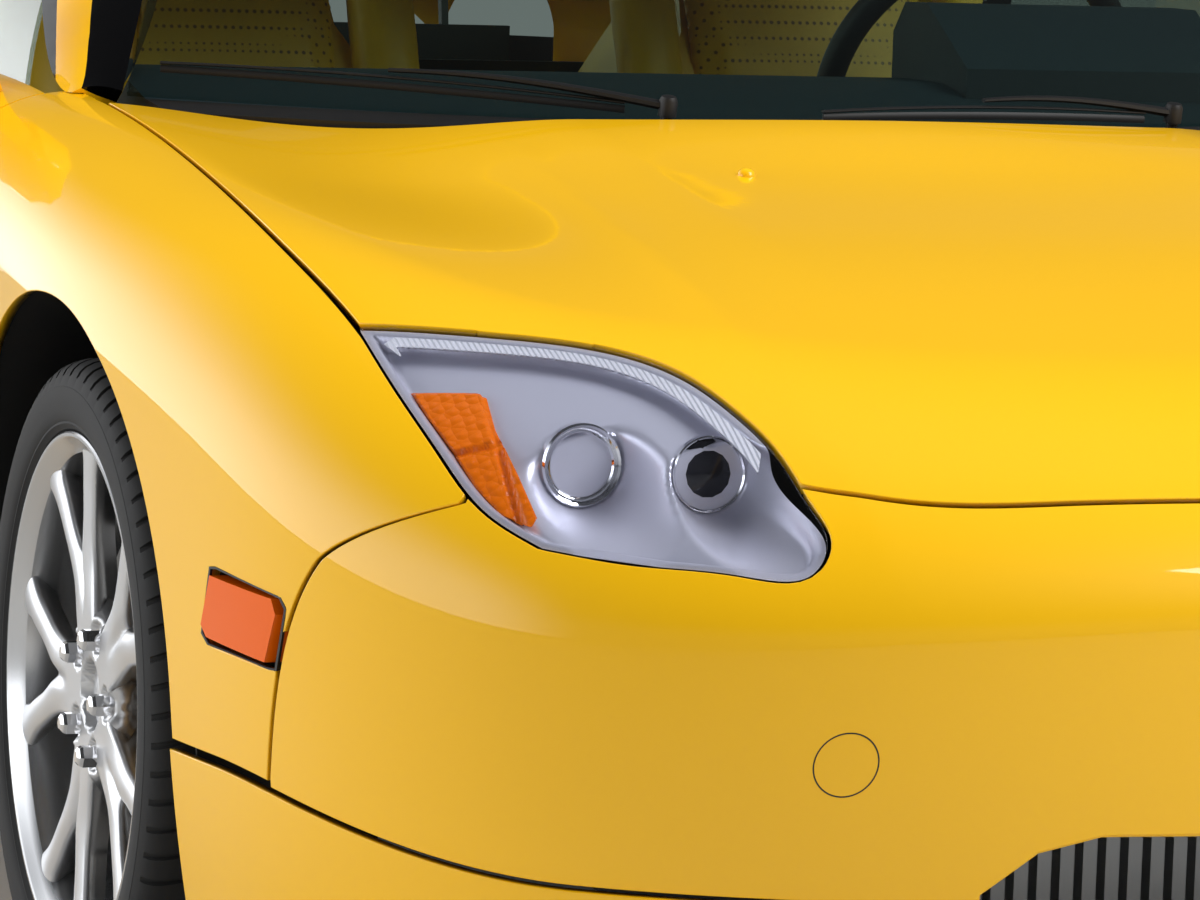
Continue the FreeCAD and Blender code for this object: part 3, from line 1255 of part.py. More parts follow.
# Columns: y, half width, half height of the mirror's shell, which is cut flat where its glass sits
mirror_sections = [(-722.0, 34.0, 20.0), (-700.0, 66.0, 42.0), (-660.0, 84.0, 56.0), (-612.0, 88.0, 58.0)]
mirror_x, mirror_z = 876.0, 908.0
mirror_rings = []
for y, half_x, half_z in mirror_sections:
    corners = [Vector(mirror_x + half_x * a, y, mirror_z + half_z * b)
               for a, b in ((-1, -0.5), (-0.6, -1), (0.6, -1), (1, -0.3), (1, 0.4), (0.5, 1), (-0.7, 1), (-1, 0.6))]
    mirror_rings.append(Part.makePolygon(corners + corners[:1]))
mirror_head = Part.makeLoft(mirror_rings, True, True)
stalk_rings = []
for x0, x1, y1, z in ((776, 812, -640, 780), (812, 852, -632, 872)):
    corners = [Vector(x, y, z) for x, y in ((x0, -700), (x0, y1), (x1, y1), (x1, -700))]
    stalk_rings.append(Part.makePolygon(corners + corners[:1]))
mirror_stalk = Part.makeLoft(stalk_rings, True, True)
door_top = door.copy()
door_top.translate(Vector(0, 0, seat_clearance))
mirror_stalk = max(mirror_stalk.cut(door_top).Solids, key=lambda solid: solid.CenterOfMass.z)
mirror = fused(mirror_head, mirror_stalk)
add("mirror_left", mirror)
add("mirror_right", mirrored(mirror))

wing_y, wing_z, wing_half = 2085.0, 948.0, 640.0
blade_side = [(-95, 0), (-60, 13), (30, 12), (100, -4), (30, -8), (-60, -10)]
blade = prism(blade_side, -wing_half, ("x", 2 * wing_half))
blade.translate(Vector(0, wing_y, wing_z))
posts = [prism([(wing_y - 70, 850), (wing_y + 25, 850), (wing_y + 35, wing_z), (wing_y - 40, wing_z)], x,
               ("x", 24.0)) for x in (-560.0, 536.0)]
boot_lid = fused(deck, *[post.cut(box(-700, 700, 1900, 2300, 700, 800)) for post in posts], blade)
add("boot_lid", boot_lid)

# Columns: distance behind the nose, height
marker_corners = [(418.5, 462), (522.5, 467), (540.5, 424), (530.5, 415), (429.5, 409), (412.5, 450)]
marker = prism([(nose_y + back, z) for back, z in marker_corners], 700, ("x", 200.0))
marker_skin = skin_patch(980.0, 1150.0, 0.55, 0.95)
marker = thick(marker_skin, -3.0, skin_thickness, 8, 6).common(marker)
nodes["front_fender_left"] = nodes["front_fender_left"].cut(marker)
nodes["front_fender_right"] = mirrored(nodes["front_fender_left"])
add("side_markers", both(marker))

for name, shape in nodes.items():
    shape.exportStep("parts/%s.step" % name)
    state = "" if shape.isValid() else "BAD"
    print(name, len(shape.Solids), "solids", round(shape.Volume / 1e6, 3), "litres", state)
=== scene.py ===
import json
import math
import bmesh
import bpy
import numpy as np
from mathutils import Matrix, Vector


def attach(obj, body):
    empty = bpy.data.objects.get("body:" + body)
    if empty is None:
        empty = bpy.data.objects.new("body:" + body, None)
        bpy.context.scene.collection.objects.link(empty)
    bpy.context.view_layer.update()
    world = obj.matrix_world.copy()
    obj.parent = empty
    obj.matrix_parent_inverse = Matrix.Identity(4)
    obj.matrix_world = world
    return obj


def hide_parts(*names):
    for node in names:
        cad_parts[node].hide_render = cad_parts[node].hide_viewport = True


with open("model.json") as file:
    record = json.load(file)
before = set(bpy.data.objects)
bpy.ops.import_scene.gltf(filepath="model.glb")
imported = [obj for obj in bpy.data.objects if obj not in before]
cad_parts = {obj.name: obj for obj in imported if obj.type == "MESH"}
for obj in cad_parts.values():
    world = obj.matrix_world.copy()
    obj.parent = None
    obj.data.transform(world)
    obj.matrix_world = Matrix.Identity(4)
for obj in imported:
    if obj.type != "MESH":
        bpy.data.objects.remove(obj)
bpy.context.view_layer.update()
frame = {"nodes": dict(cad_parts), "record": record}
nodes = frame["nodes"]
mm = 0.001
print("frame loaded:", len(nodes), "nodes")

# The car, in millimetres: X to its left, the nose at -Y, Z up
car = {"length": 4425.0, "wheelbase": 2530.0, "frontOverhang": 935.0, "gap": 5.0, "lip": 1.1, "metal": 12.0}
noseY, tailY = -car["length"] / 2, car["length"] / 2
frontAxleY = noseY + car["frontOverhang"]
rearAxleY = frontAxleY + car["wheelbase"]
stationRows = [  # outline at the widest line: x, y, bottom height, tuck, shoulder depth, shoulder height
    (0.0, noseY, 140.0, 62.0, 300.0, 120.0),
    (300.0, noseY + 17, 140.0, 62.0, 300.0, 126.0),
    (540.0, noseY + 82, 140.0, 60.0, 300.0, 150.0),
    (710.0, noseY + 205, 140.0, 55.0, 290.0, 176.0),
    (806.0, noseY + 365, 140.0, 45.0, 250.0, 176.0),
    (854.0, noseY + 575, 140.0, 36.0, 200.0, 150.0),
    (888.0, frontAxleY, 140.0, 40.0, 180.0, 118.0),
    (880.0, frontAxleY + 380, 140.0, 52.0, 150.0, 118.0),
    (866.0, -400.0, 140.0, 60.0, 116.0, 104.0),
    (864.0, 100.0, 140.0, 60.0, 112.0, 92.0),
    (880.0, 600.0, 140.0, 52.0, 140.0, 105.0),
    (900.0, rearAxleY - 260, 142.0, 44.0, 190.0, 128.0),
    (905.0, rearAxleY, 148.0, 42.0, 215.0, 145.0),
    (894.0, rearAxleY + 350, 165.0, 50.0, 215.0, 145.0),
    (846.0, tailY - 310, 185.0, 60.0, 190.0, 125.0),
    (742.0, tailY - 135, 195.0, 66.0, 160.0, 105.0),
    (480.0, tailY - 35, 200.0, 70.0, 140.0, 90.0),
    (0.0, tailY, 200.0, 70.0, 130.0, 85.0),
]
topRows = [  # y, height on the centre line, height of the wing crest
    (noseY, 611.0, 590.0), (noseY + 300, 673.0, 664.0), (-1600.0, 730.0, 726.0), (frontAxleY, 778.0, 767.0),
    (-1080.0, 812.0, 790.0), (-860.0, 822.0, 809.0), (-400.0, 826.0, 822.0), (100.0, 838.0, 834.0),
    (600.0, 856.0, 856.0), (rearAxleY - 260, 874.0, 884.0), (rearAxleY, 882.0, 894.0),
    (rearAxleY + 400, 884.0, 890.0), (tailY, 868.0, 862.0),
]
crestX, valleyX, valleyHalf, valleyDepth = 730.0, 520.0, 210.0, 12.0
ridgeRows = [(-2150.0, 434.0), (-2010.0, 452.0), (-1733.0, 446.0), (-1294.0, 415.0), (-1050.0, 390.0)]  # y, x
ridge = {"height": 4.0, "runIn": 150.0, "runOut": 40.0, "softness": 6.0}


class Curve:  # a natural cubic through its rows, straight beyond its ends
    def __init__(self, ts, vs):
        self.t, self.v = np.array(ts, float), np.array(vs, float)
        count, h = len(ts), np.diff(self.t)
        rows, right = np.eye(count), np.zeros(count)
        for i in range(1, count - 1):
            rows[i, i - 1:i + 2] = h[i - 1], 2 * (h[i - 1] + h[i]), h[i]
            right[i] = 6 * ((self.v[i + 1] - self.v[i]) / h[i] - (self.v[i] - self.v[i - 1]) / h[i - 1])
        self.m = np.linalg.solve(rows, right)
        self.first = (self.v[1] - self.v[0]) / h[0] - h[0] / 6 * (2 * self.m[0] + self.m[1])
        self.last = (self.v[-1] - self.v[-2]) / h[-1] + h[-1] / 6 * (self.m[-2] + 2 * self.m[-1])

    def __call__(self, t):
        t = np.asarray(t, float)
        kept = np.clip(t, self.t[0], self.t[-1])
        i = np.clip(np.searchsorted(self.t, kept) - 1, 0, len(self.t) - 2)
        h = self.t[i + 1] - self.t[i]
        a, b = (self.t[i + 1] - kept) / h, (kept - self.t[i]) / h
        bend = (a**3 - a) * self.m[i] + (b**3 - b) * self.m[i + 1]
        value = a * self.v[i] + b * self.v[i + 1] + bend * h * h / 6
        return value + np.where(t < kept, self.first, self.last) * (t - kept)


def outlineCurves():  # run past both ends by its mirror image, so that it crosses the centre line squarely
    rows = [(-r[0],) + r[1:] for r in stationRows[2:0:-1]] + stationRows
    rows += [(-r[0],) + r[1:] for r in stationRows[-2:-4:-1]]
    steps = [math.hypot(b[0] - a[0], b[1] - a[1]) for a, b in zip(rows, rows[1:])]
    ts = np.concatenate([[0.0], np.cumsum(steps)])
    ts -= ts[2]
    return [Curve(ts, [r[k] for r in rows]) for k in range(6)], ts[1 + len(stationRows)]


outline, outlineEnd = outlineCurves()
centreHeight = Curve([r[0] for r in topRows], [r[1] for r in topRows])
crestHeight = Curve([r[0] for r in topRows], [r[2] for r in topRows])
ridgeX = Curve([r[0] for r in ridgeRows], [r[1] for r in ridgeRows])


def smoothStep(u):
    u = np.clip(u, 0.0, 1.0)
    return u * u * (3 - 2 * u)


def lerp(a, b, share):
    return a + (b - a) * share


def unit(vectors):
    return vectors / np.maximum(np.linalg.norm(vectors, axis=-1, keepdims=True), 1e-12)


def planPoint(t):
    dx, dy = outline[0](t + 1) - outline[0](t - 1), outline[1](t + 1) - outline[1](t - 1)
    size = np.hypot(dx, dy)
    return outline[0](t), outline[1](t), -dy / size, dx / size


def search(low, high, isLow, rounds=44):  # halves the range down to the place where isLow turns false
    low, high = np.array(low, float), np.array(high, float)
    for _ in range(rounds):
        middle = (low + high) / 2
        below = isLow(middle)
        low, high = np.where(below, middle, low), np.where(below, high, middle)
    return (low + high) / 2


def outlineAt(y):
    y = np.asarray(y, float)
    return search(np.full(y.shape, 900.0), np.full(y.shape, outlineEnd - 700.0), lambda t: outline[1](t) < y)


def topHeight(x, y):
    x = np.abs(x)
    height = lerp(centreHeight(y), crestHeight(y), smoothStep(x / crestX))
    near = np.maximum(0.0, 1 - ((x - valleyX) / valleyHalf) ** 2)
    height = height - valleyDepth * near**2 * smoothStep((y + 1950) / 700) * smoothStep((-300 - y) / 400)
    off = x - ridgeX(y)
    present = smoothStep((y + 2230) / 130) * smoothStep((-1040 - y) / 300)
    run = np.where(off < 0, ridge["runIn"], ridge["runOut"])
    away = ridge["softness"] - np.hypot(off, ridge["softness"])
    return height + ridge["height"] * present * np.exp(away / run)


def edgeDrop(d, depth, height):
    u = 1 - np.clip(d, 0.0, depth) / depth
    return height * (1 - np.sqrt(np.maximum(0.0, 1 - u * u)))


def topPoint(t, d):
    x, y, nx, ny = planPoint(t)
    px, py = x + nx * d, y + ny * d
    return np.stack([px, py, topHeight(px, py) - edgeDrop(d, outline[4](t), outline[5](t))], axis=-1)


def wallPoint(t, s):
    x, y, nx, ny = planPoint(t)
    wide, low = topPoint(t, 0.0 * t)[..., 2], outline[2](t)
    z = lerp(low, wide, s)
    u = (wide - z) / (wide - low)
    tuck = outline[3](t) * u * u * (0.55 + 0.45 * u)
    return np.stack([x + nx * tuck, y + ny * tuck, z], axis=-1)


def skinHalf(t, s):  # s: 0 to 1 from the bottom to the widest line, 1 to 2 over the shoulder, then metres inwards
    depth = outline[4](t)
    turn = np.clip(s - 1, 0, 1) * math.pi / 2
    d = np.where(s <= 2, depth * (1 - np.cos(turn)), depth + (s - 2) * 1000)
    return np.where((s <= 1)[..., None], wallPoint(t, np.minimum(s, 1.0)), topPoint(t, d))


def skin(t, s):  # t runs along the outline from the nose; past both ends it carries on round the other side
    t, s = np.broadcast_arrays(np.asarray(t, float), np.asarray(s, float))
    flipped = (t < 0) | (t > outlineEnd)
    points = skinHalf(np.where(t < 0, -t, np.where(t > outlineEnd, 2 * outlineEnd - t, t)), s)
    points[..., 0] *= np.where(flipped, -1.0, 1.0)
    return points


def normalsOf(place, u, v, du=0.5, dv=0.001):
    return unit(np.cross(place(u + du, v) - place(u - du, v), place(u, v + dv) - place(u, v - dv)))


def shareOfHeight(t, z):
    low, wide = outline[2](t), topPoint(t, 0.0 * t)[..., 2]
    return (z - low) / (wide - low)


def shareOfInset(t, d):
    depth = outline[4](t)
    over = np.arccos(np.clip(1 - d / depth, -1, 1)) * 2 / math.pi
    return np.where(d <= depth, 1 + over, 2 + (d - depth) / 1000)


def planFoot(x, y, low, high, rounds):  # the outline's nearest place in plan, and how far inside it x, y lie
    for _ in range(rounds):
        a, b = low + (high - low) / 3, high - (high - low) / 3
        pa, pb = planPoint(a), planPoint(b)
        nearer = np.hypot(pa[0] - x, pa[1] - y) < np.hypot(pb[0] - x, pb[1] - y)
        low, high = np.where(nearer, low, a), np.where(nearer, b, high)
    t = (low + high) / 2
    px, py, nx, ny = planPoint(t)
    return t, np.maximum(0.0, (x - px) * nx + (y - py) * ny)


def planRange(y):  # the stretch of the outline that holds the nearest place
    front = y < -1300
    low = np.where(front, 0.0, outlineAt(y - 250))
    high = np.minimum(outlineEnd, outlineAt(y + 250))
    return low, np.where(front, outlineAt(np.full(y.shape, -1200.0)), high)


def panelHeight(x, y):  # height of the skin over a place in plan
    x, y = np.broadcast_arrays(np.abs(x), np.asarray(y, float))
    t, d = planFoot(x, y, *planRange(y), 36)
    return topHeight(x, y) - edgeDrop(d, outline[4](t), outline[5](t))


def topSkin(x, y):
    return np.stack([x, y, panelHeight(x, y)], axis=-1)


# Building a panel: a flat grid is trimmed along its edges' curves, laid on its surface and given a folded rim
def flatGrid(u0, u1, v0, v1, du, dv):
    bm = bmesh.new()
    across, along = max(2, round((u1 - u0) / du)), max(2, round((v1 - v0) / dv))
    bmesh.ops.create_grid(bm, x_segments=across, y_segments=along, size=0.5)
    for vert in bm.verts:
        vert.co = Vector((lerp(u0, u1, vert.co.x + 0.5), lerp(v0, v1, vert.co.y + 0.5), 0.0))
    return bm


def flatPlaces(verts):
    places = np.array([vert.co[:2] for vert in verts], float).reshape(-1, 2)
    return places[:, 0], places[:, 1]


def trim(bm, keep, snap=0.12):  # keep(u, v) is above zero on what stays
    verts = list(bm.verts)
    value = keep(*flatPlaces(verts))
    score = dict(zip(verts, value))
    crossing = []
    for edge in bm.edges:
        a, b = edge.verts
        if score[a] * score[b] < 0:
            share = score[a] / (score[a] - score[b])
            if share < snap or share > 1 - snap:
                crossing.append((a if share < snap else b, a, b))
    for near, a, b in crossing:  # a corner that is almost on the curve is moved onto it
        if score[a] * score[b] < 0:
            near.co = lerp(a.co, b.co, score[a] / (score[a] - score[b]))
            score[near] = 0.0
    edges = [edge for edge in bm.edges if score[edge.verts[0]] * score[edge.verts[1]] < 0]
    if edges:
        starts = np.array([edge.verts[0].co[:2] for edge in edges])
        ends = np.array([edge.verts[1].co[:2] for edge in edges])
        sign = np.array([math.copysign(1.0, score[edge.verts[0]]) for edge in edges])

        def isLow(share):
            at = starts + (ends - starts) * share[:, None]
            return keep(at[:, 0], at[:, 1]) * sign > 0
        shares = search(np.zeros(len(edges)), np.ones(len(edges)), isLow, 22)
        for edge, share in zip(edges, shares):
            _, vert = bmesh.utils.edge_split(edge, edge.verts[0], float(share))
            score[vert] = 0.0
    onCurve = [vert for vert in bm.verts if score[vert] == 0]
    if onCurve:
        bmesh.ops.connect_verts(bm, verts=onCurve)
    gone = [face for face in bm.faces if sum(score[vert] for vert in face.verts) < 0]
    bmesh.ops.delete(bm, geom=gone, context="FACES")
    bm.verts.index_update()
    return bm


def outwards(index, points, normals, bm):  # for each rim corner, the way out of the panel within its surface
    sums = {}
    for edge in bm.edges:
        if edge.is_boundary:
            a, b = (index[vert] for vert in edge.verts)
            normal = normals[a] + normals[b]
            away = np.cross(points[b] - points[a], normal)
            away /= max(np.linalg.norm(away), 1e-12)
            middle = np.mean([points[index[vert]] for vert in edge.link_faces[0].verts], axis=0)
            if np.dot(away, (points[a] + points[b]) / 2 - middle) < 0:
                away = -away
            for k in (a, b):
                sums.setdefault(k, []).append(away)
    out = {}
    for k, parts in sums.items():
        total = np.sum(parts, axis=0)
        size = np.dot(total, total)
        way = total * len(parts) / size if size > 0.6 else parts[0]
        out[k] = way / max(1.0, np.linalg.norm(way) / 1.6)
    return out


def layPanel(name, bm, place, depth, lip=car["lip"], side=1, normalStep=(0.5, 0.001)):
    verts = list(bm.verts)
    index = {vert: i for i, vert in enumerate(verts)}
    u, v = flatPlaces(verts)
    points = place(u, v)
    normals = normalsOf(place, u, v, *normalStep)
    if side < 0:
        points, normals = points * [-1, 1, 1], normals * [-1, 1, 1]
        bmesh.ops.reverse_faces(bm, faces=bm.faces)
    out = outwards(index, points, normals, bm)
    for vert, point in zip(verts, points):
        vert.co = Vector(point) * mm
    shading = {vert: normals[i] for vert, i in index.items()}
    rim = [edge for edge in bm.edges if edge.is_boundary]
    inner = {}
    if depth:
        copied = bmesh.ops.duplicate(bm, geom=bm.faces[:])
        pairs = {old: new for old, new in copied["vert_map"].items() if old in index}
        for old, new in pairs.items():
            i = index[old]
            new.co = Vector(points[i] - normals[i] * depth) * mm
            shading[new] = -normals[i]
            inner[i] = new
        bmesh.ops.reverse_faces(bm, faces=[f for f in copied["geom"] if isinstance(f, bmesh.types.BMFace)])
    ring = {vert: index[vert] for edge in rim for vert in edge.verts}
    for step in (30, 60, 90, None):
        if step is None and not depth:
            break
        grown = bmesh.ops.extrude_edge_only(bm, edges=rim)["geom"]
        rim = [e for e in grown if isinstance(e, bmesh.types.BMEdge)]
        fresh = {}
        for vert in grown:
            if isinstance(vert, bmesh.types.BMVert):
                old = next(o for o in (e.other_vert(vert) for e in vert.link_edges) if o in ring)
                fresh[vert] = ring[old]
        for vert, i in fresh.items():
            if step is None:
                vert.co = inner[i].co
                continue
            turn = math.radians(step)
            folded = points[i] + out[i] * lip * math.sin(turn) - normals[i] * lip * (1 - math.cos(turn))
            vert.co = Vector(folded) * mm
            shading[vert] = unit(normals[i] * math.cos(turn) + out[i] * math.sin(turn))
        ring = fresh
    if depth:
        bmesh.ops.weld_verts(bm, targetmap={vert: inner[i] for vert, i in ring.items()})
    return finishMesh(name, bm, shading)


def sharpen(bm, angle):  # rims, and edges whose faces meet at more than this angle, show sharp
    for edge in bm.edges:
        edge.smooth = len(edge.link_faces) == 2 and edge.calc_face_angle(0.0) < math.radians(angle)


def placeVerts(bm, points, side):  # the corners go to these places, mirrored where side is -1
    if side < 0:
        bmesh.ops.reverse_faces(bm, faces=bm.faces)
    for vert, point in zip(bm.verts, points * [side, 1, 1]):
        vert.co = Vector(point) * mm


def bridge(bm, rows, closed=True):  # faces between rows of corners, and round each row where it is closed
    for a, b in zip(rows, rows[1:]):
        for k in range(len(a) if closed else len(a) - 1):
            beside = (k + 1) % len(a)
            bm.faces.new((a[k], a[beside], b[beside], b[k]))


def finishMesh(name, bm, shading=None):
    bm.verts.index_update()
    bm.verts.ensure_lookup_table()
    mesh = bpy.data.meshes.new(name)
    custom = [tuple(shading[vert]) for vert in bm.verts] if shading else None
    for face in bm.faces:
        face.smooth = True
    bm.to_mesh(mesh)
    bm.free()
    if custom:
        mesh.normals_split_custom_set_from_vertices(custom)
    thing = bpy.data.objects.new(name, mesh)
    bpy.context.scene.collection.objects.link(thing)
    return thing


# Materials
def linear(hexColour):
    values = [int(hexColour[i:i + 2], 16) / 255 for i in (1, 3, 5)]
    return [c / 12.92 if c <= 0.04045 else ((c + 0.055) / 1.055) ** 2.4 for c in values] + [1.0]


def addNode(tree, kind, sockets=None, **settings):
    node = tree.nodes.new(kind)
    for name, value in settings.items():
        setattr(node, name, value)
    colours = {socket.identifier: socket for socket in node.inputs}
    for name, value in (sockets or {}).items():
        socket = colours[name + "_Color"] if name in ("A", "B") else node.inputs[name]
        if isinstance(value, bpy.types.NodeSocket):
            tree.links.new(value, socket)
        else:
            socket.default_value = value
    return node


def emptyMaterial(name):
    material = bpy.data.materials.new(name)
    material.use_nodes = True
    material.node_tree.nodes.clear()
    return material, material.node_tree


def newMaterial(name, sockets):
    material, tree = emptyMaterial(name)
    shader = addNode(tree, "ShaderNodeBsdfPrincipled", sockets)
    addNode(tree, "ShaderNodeOutputMaterial", {"Surface": shader.outputs["BSDF"]})
    return material, tree, shader


def objectPlace(tree):
    return addNode(tree, "ShaderNodeTexCoord").outputs["Object"]


def noiseAt(tree, sizeMm, detail=2.0):  # a noise whose spots are about sizeMm across
    sockets = {"Vector": objectPlace(tree), "Scale": 1000.0 / sizeMm, "Detail": detail}
    return addNode(tree, "ShaderNodeTexNoise", sockets).outputs["Fac"]


def ranged(tree, value, low, high, start, end, **settings):  # low to high becomes start to end
    sockets = {"Value": value, "From Min": low, "From Max": high, "To Min": start, "To Max": end}
    return addNode(tree, "ShaderNodeMapRange", sockets, **settings).outputs["Result"]


def joined(tree, a, b, operation):
    return addNode(tree, "ShaderNodeMath", {0: a, 1: b}, operation=operation).outputs[0]


def addBump(tree, shader, height, distanceMm, strength=1.0, socket="Normal"):
    bump = addNode(tree, "ShaderNodeBump", {"Height": height, "Distance": distanceMm * mm, "Strength": strength})
    tree.links.new(bump.outputs["Normal"], shader.inputs[socket])


def carPaint():  # solid chrome yellow under clear lacquer, mirror-like with a faint orange peel
    material, tree, shader = newMaterial("clearCoatedYellowPaint", {
        "Base Color": linear("#F8BD06"), "Roughness": 0.45, "Specular IOR Level": 0.15, "Coat Weight": 1.0,
        "Coat Roughness": 0.02, "Coat IOR": 1.4})
    addBump(tree, shader, noiseAt(tree, 9.0, 1.0), 0.03, 0.5, "Coat Normal")
    return material


def mouldedPlastic(name, colour, roughness, grainMm=0.9):  # grained moulded plastic: dull, finely pitted
    material, tree, shader = newMaterial(name, {"Base Color": linear(colour), "Roughness": roughness})
    addBump(tree, shader, noiseAt(tree, grainMm, 3.0), 0.12, 0.6)
    return material


paint = carPaint()
blackPlastic = mouldedPlastic("grainedBlackPlastic", "#121213", 0.55)
coatedSteel = mouldedPlastic("blackCoatedSteel", "#1A1B1C", 0.5, 3.0)
print("materials made")


def give(thing, material, body, slot, *replaced):
    thing.data.materials.clear()
    thing.data.materials.append(material)
    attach(thing, body)
    if replaced:
        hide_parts(*replaced)
    return thing


# Edges shared by the body panels
bonnetEdge = Curve([-1730.0, -1560.0, -1292.0, -870.0], [739.0, 747.0, 739.0, 729.0])
edges = {"doorFront": -790.0, "doorSweep": 20.0, "sillTop": 262.0, "seamTop": 812.0, "seamLow": 1019.0,
         "bonnetInset": 64.5, "bonnetRearMid": -1075.0, "bonnetRearSide": -874.0, "bonnetHalf": 729.0,
         "clear": 50.0}  # clear: a cut's value where it doesn't reach
arch = {"y": frontAxleY, "radius": 318.0, "height": 344.0}
doorFrontT = float(outlineAt(edges["doorFront"]))
gap, lip = car["gap"], car["lip"]
grids = {  # each panel's flat grid: its first and last place both ways, and both steps
    "wing": (790.0, doorFrontT + 30, 0.10, 2.28, 9.0, 0.022),
    "bumper": (-1030.0, 1030.0, 0.15, 1.60, 9.0, 0.020),
    "chin": (-1290.0, 1290.0, 0.0, 0.42, 10.0, 0.014),
    "bonnet": (-760.0, 760.0, -2160.0, -860.0, 10.0, 10.0),
    "lampBowl": (478.0, 1075.0, 1.19, 1.86, 4.0, 0.006),
    "lampCover": (478.0, 1075.0, 1.19, 1.86, 7.0, 0.012),
    "amber": (560.0, 1060.0, 1.22, 1.78, 2.5, 0.005),
    "lampRibs": (560.0, 1010.0, 1.36, 1.86, 5.0, 0.008),
    "wheelFace": (-230.0, 230.0, -230.0, 230.0, 3.4, 3.4),
}
sides = ((1, "left"), (-1, "right"))


def seamT(s):
    climb = np.clip((s - 0.45) / 0.85, 0.0, 1.0)
    return edges["seamLow"] - (edges["seamLow"] - edges["seamTop"]) * (0.32 * climb + 0.68 * climb**3.2)


def lowerSeamZ(t):
    t = np.abs(t)
    return 270.0 + 41.0 * smoothStep((t - 690.0) / 430.0) + 6.0 * smoothStep((450.0 - t) / 300.0)


def bonnetRear(x):
    return lerp(edges["bonnetRearMid"], edges["bonnetRearSide"], (x / edges["bonnetHalf"]) ** 2)


def bonnetFrontCurve():
    at = np.array([0.0, 140.0, 290.0, 430.0])
    rows = [tuple(p[:2]) for p in skin(at, shareOfInset(at, edges["bonnetInset"]))]
    rows += [(540.0, -2025.0), (640.0, -1905.0), (747.0, -1745.0)]
    rows = [(-x, y) for x, y in rows[:0:-1]] + rows
    return Curve([x for x, y in rows], [y for x, y in rows])


bonnetFront = bonnetFrontCurve()


def archKeep(t, s):  # above zero outside the wheel opening, which has straight legs under its half round
    y, z = skin(t, s)[:, 1] - arch["y"], skin(t, s)[:, 2] - arch["height"]
    return np.where(z > 0, np.hypot(y, z), np.abs(y)) - arch["radius"] - lip


# The headlamp's outline: places on the skin, seen along the way the lamp faces
lamp = {"facing": unit(np.array([0.50, -0.62, 0.60])), "middle": (731, 1.52), "points": 300}
lampTop = [(1050, 1.622), (930, 1.765), (771, 1.815), (671, 1.771), (598, 1.68), (545, 1.56), (512, 1.42),
           (496, 1.30), (508, 1.235), (565, 1.229), (650, 1.238), (731, 1.243)]
lampSide = [(731, 1.243), (789, 1.295), (855, 1.394), (935, 1.497), (1050, 1.622)]
lampAcross = unit(np.cross([0.0, 0.0, 1.0], lamp["facing"]))
lampUp = np.cross(lamp["facing"], lampAcross)
lampMiddle = skin(*lamp["middle"])


def lampPlane(points):
    away = points - lampMiddle
    return np.stack([away @ lampAcross, away @ lampUp], axis=-1)


def curveThrough(rows, count):
    rows = np.array(rows, float)
    along = np.concatenate([[0.0], np.cumsum(np.linalg.norm(np.diff(rows, axis=0), axis=1))])
    at = np.linspace(0, along[-1], count)
    return np.stack([Curve(along, rows[:, k])(at) for k in range(rows.shape[1])], axis=-1)


def lampOutline():
    loops = []
    for rows, count in ((lampTop, lamp["points"]), (lampSide, 90)):
        t, s = np.array(rows, float).T
        loops.append(curveThrough(lampPlane(skin(t, s)), count)[:-1])
    return np.concatenate(loops)


lampLoop = lampOutline()


def insideBy(points, loop):  # distance to a closed outline in its plane, above zero inside it
    a, b = loop, np.roll(loop, -1, axis=0)
    best = np.full(len(points), 1e9)
    inside = np.zeros(len(points), bool)
    for (ax, ay), (bx, by) in zip(a, b):
        dx, dy = bx - ax, by - ay
        px, py = points[:, 0] - ax, points[:, 1] - ay
        share = np.clip((px * dx + py * dy) / max(dx * dx + dy * dy, 1e-12), 0, 1)
        best = np.minimum(best, np.hypot(px - dx * share, py - dy * share))
        straddles = (ay > points[:, 1]) != (by > points[:, 1])
        if dy:
            inside ^= straddles & (points[:, 0] < dx * (points[:, 1] - ay) / dy + ax)
    return np.where(inside, best, -best)


def lampKeep(points, room):  # above zero where a point lies more than room outside the lamp
    flat = lampPlane(points)
    near = (np.abs(flat[:, 0]) < 420) & (np.abs(flat[:, 1]) < 300)
    near &= (points - lampMiddle) @ lamp["facing"] > -260
    result = np.full(len(points), 200.0)
    if near.any():
        result[near] = -insideBy(flat[near], lampLoop) - room
    return result


def bothLamps(points, room):
    return np.minimum(lampKeep(points, room), lampKeep(points * [-1, 1, 1], room))


# Body panels, each with its own stretch of skin
def fenderPanel(side):
    bm = flatGrid(*grids["wing"])
    trim(bm, lambda t, s: t - seamT(s) - gap / 2 - lip)
    doorEdge = doorFrontT - 6 + gap / 2 - lip
    trim(bm, lambda t, s: doorEdge + edges["doorSweep"] * np.maximum(0.0, s - 1) - t)
    trim(bm, lambda t, s: skin(t, s)[:, 2] - np.where(t < 1300, lowerSeamZ(t) + 5, edges["sillTop"] + 5) - lip)

    def insideLine(t, s):
        points = skin(t, s)
        inwards = (s > 1.1) & (points[:, 1] > -1790)
        return np.where(inwards, points[:, 0] - bonnetEdge(points[:, 1]) - gap / 2 - lip, edges["clear"])
    trim(bm, insideLine)
    trim(bm, archKeep)
    trim(bm, lambda t, s: lampKeep(skin(t, s), 2.0 + lip))
    trim(bm, lambda t, s: -insideBy(np.stack([t, s * 400], axis=-1), markerLoop) - 1.0)
    return layPanel("frontWing", bm, skin, car["metal"] - 1, side=side)


markerRows = [(984, 0.845), (999, 0.697), (1012, 0.688), (1120, 0.642), (1132, 0.655), (1115, 0.802), (1104, 0.812),
              (992, 0.862)]
markerLoop = np.array([(t, s * 400) for t, s in markerRows])


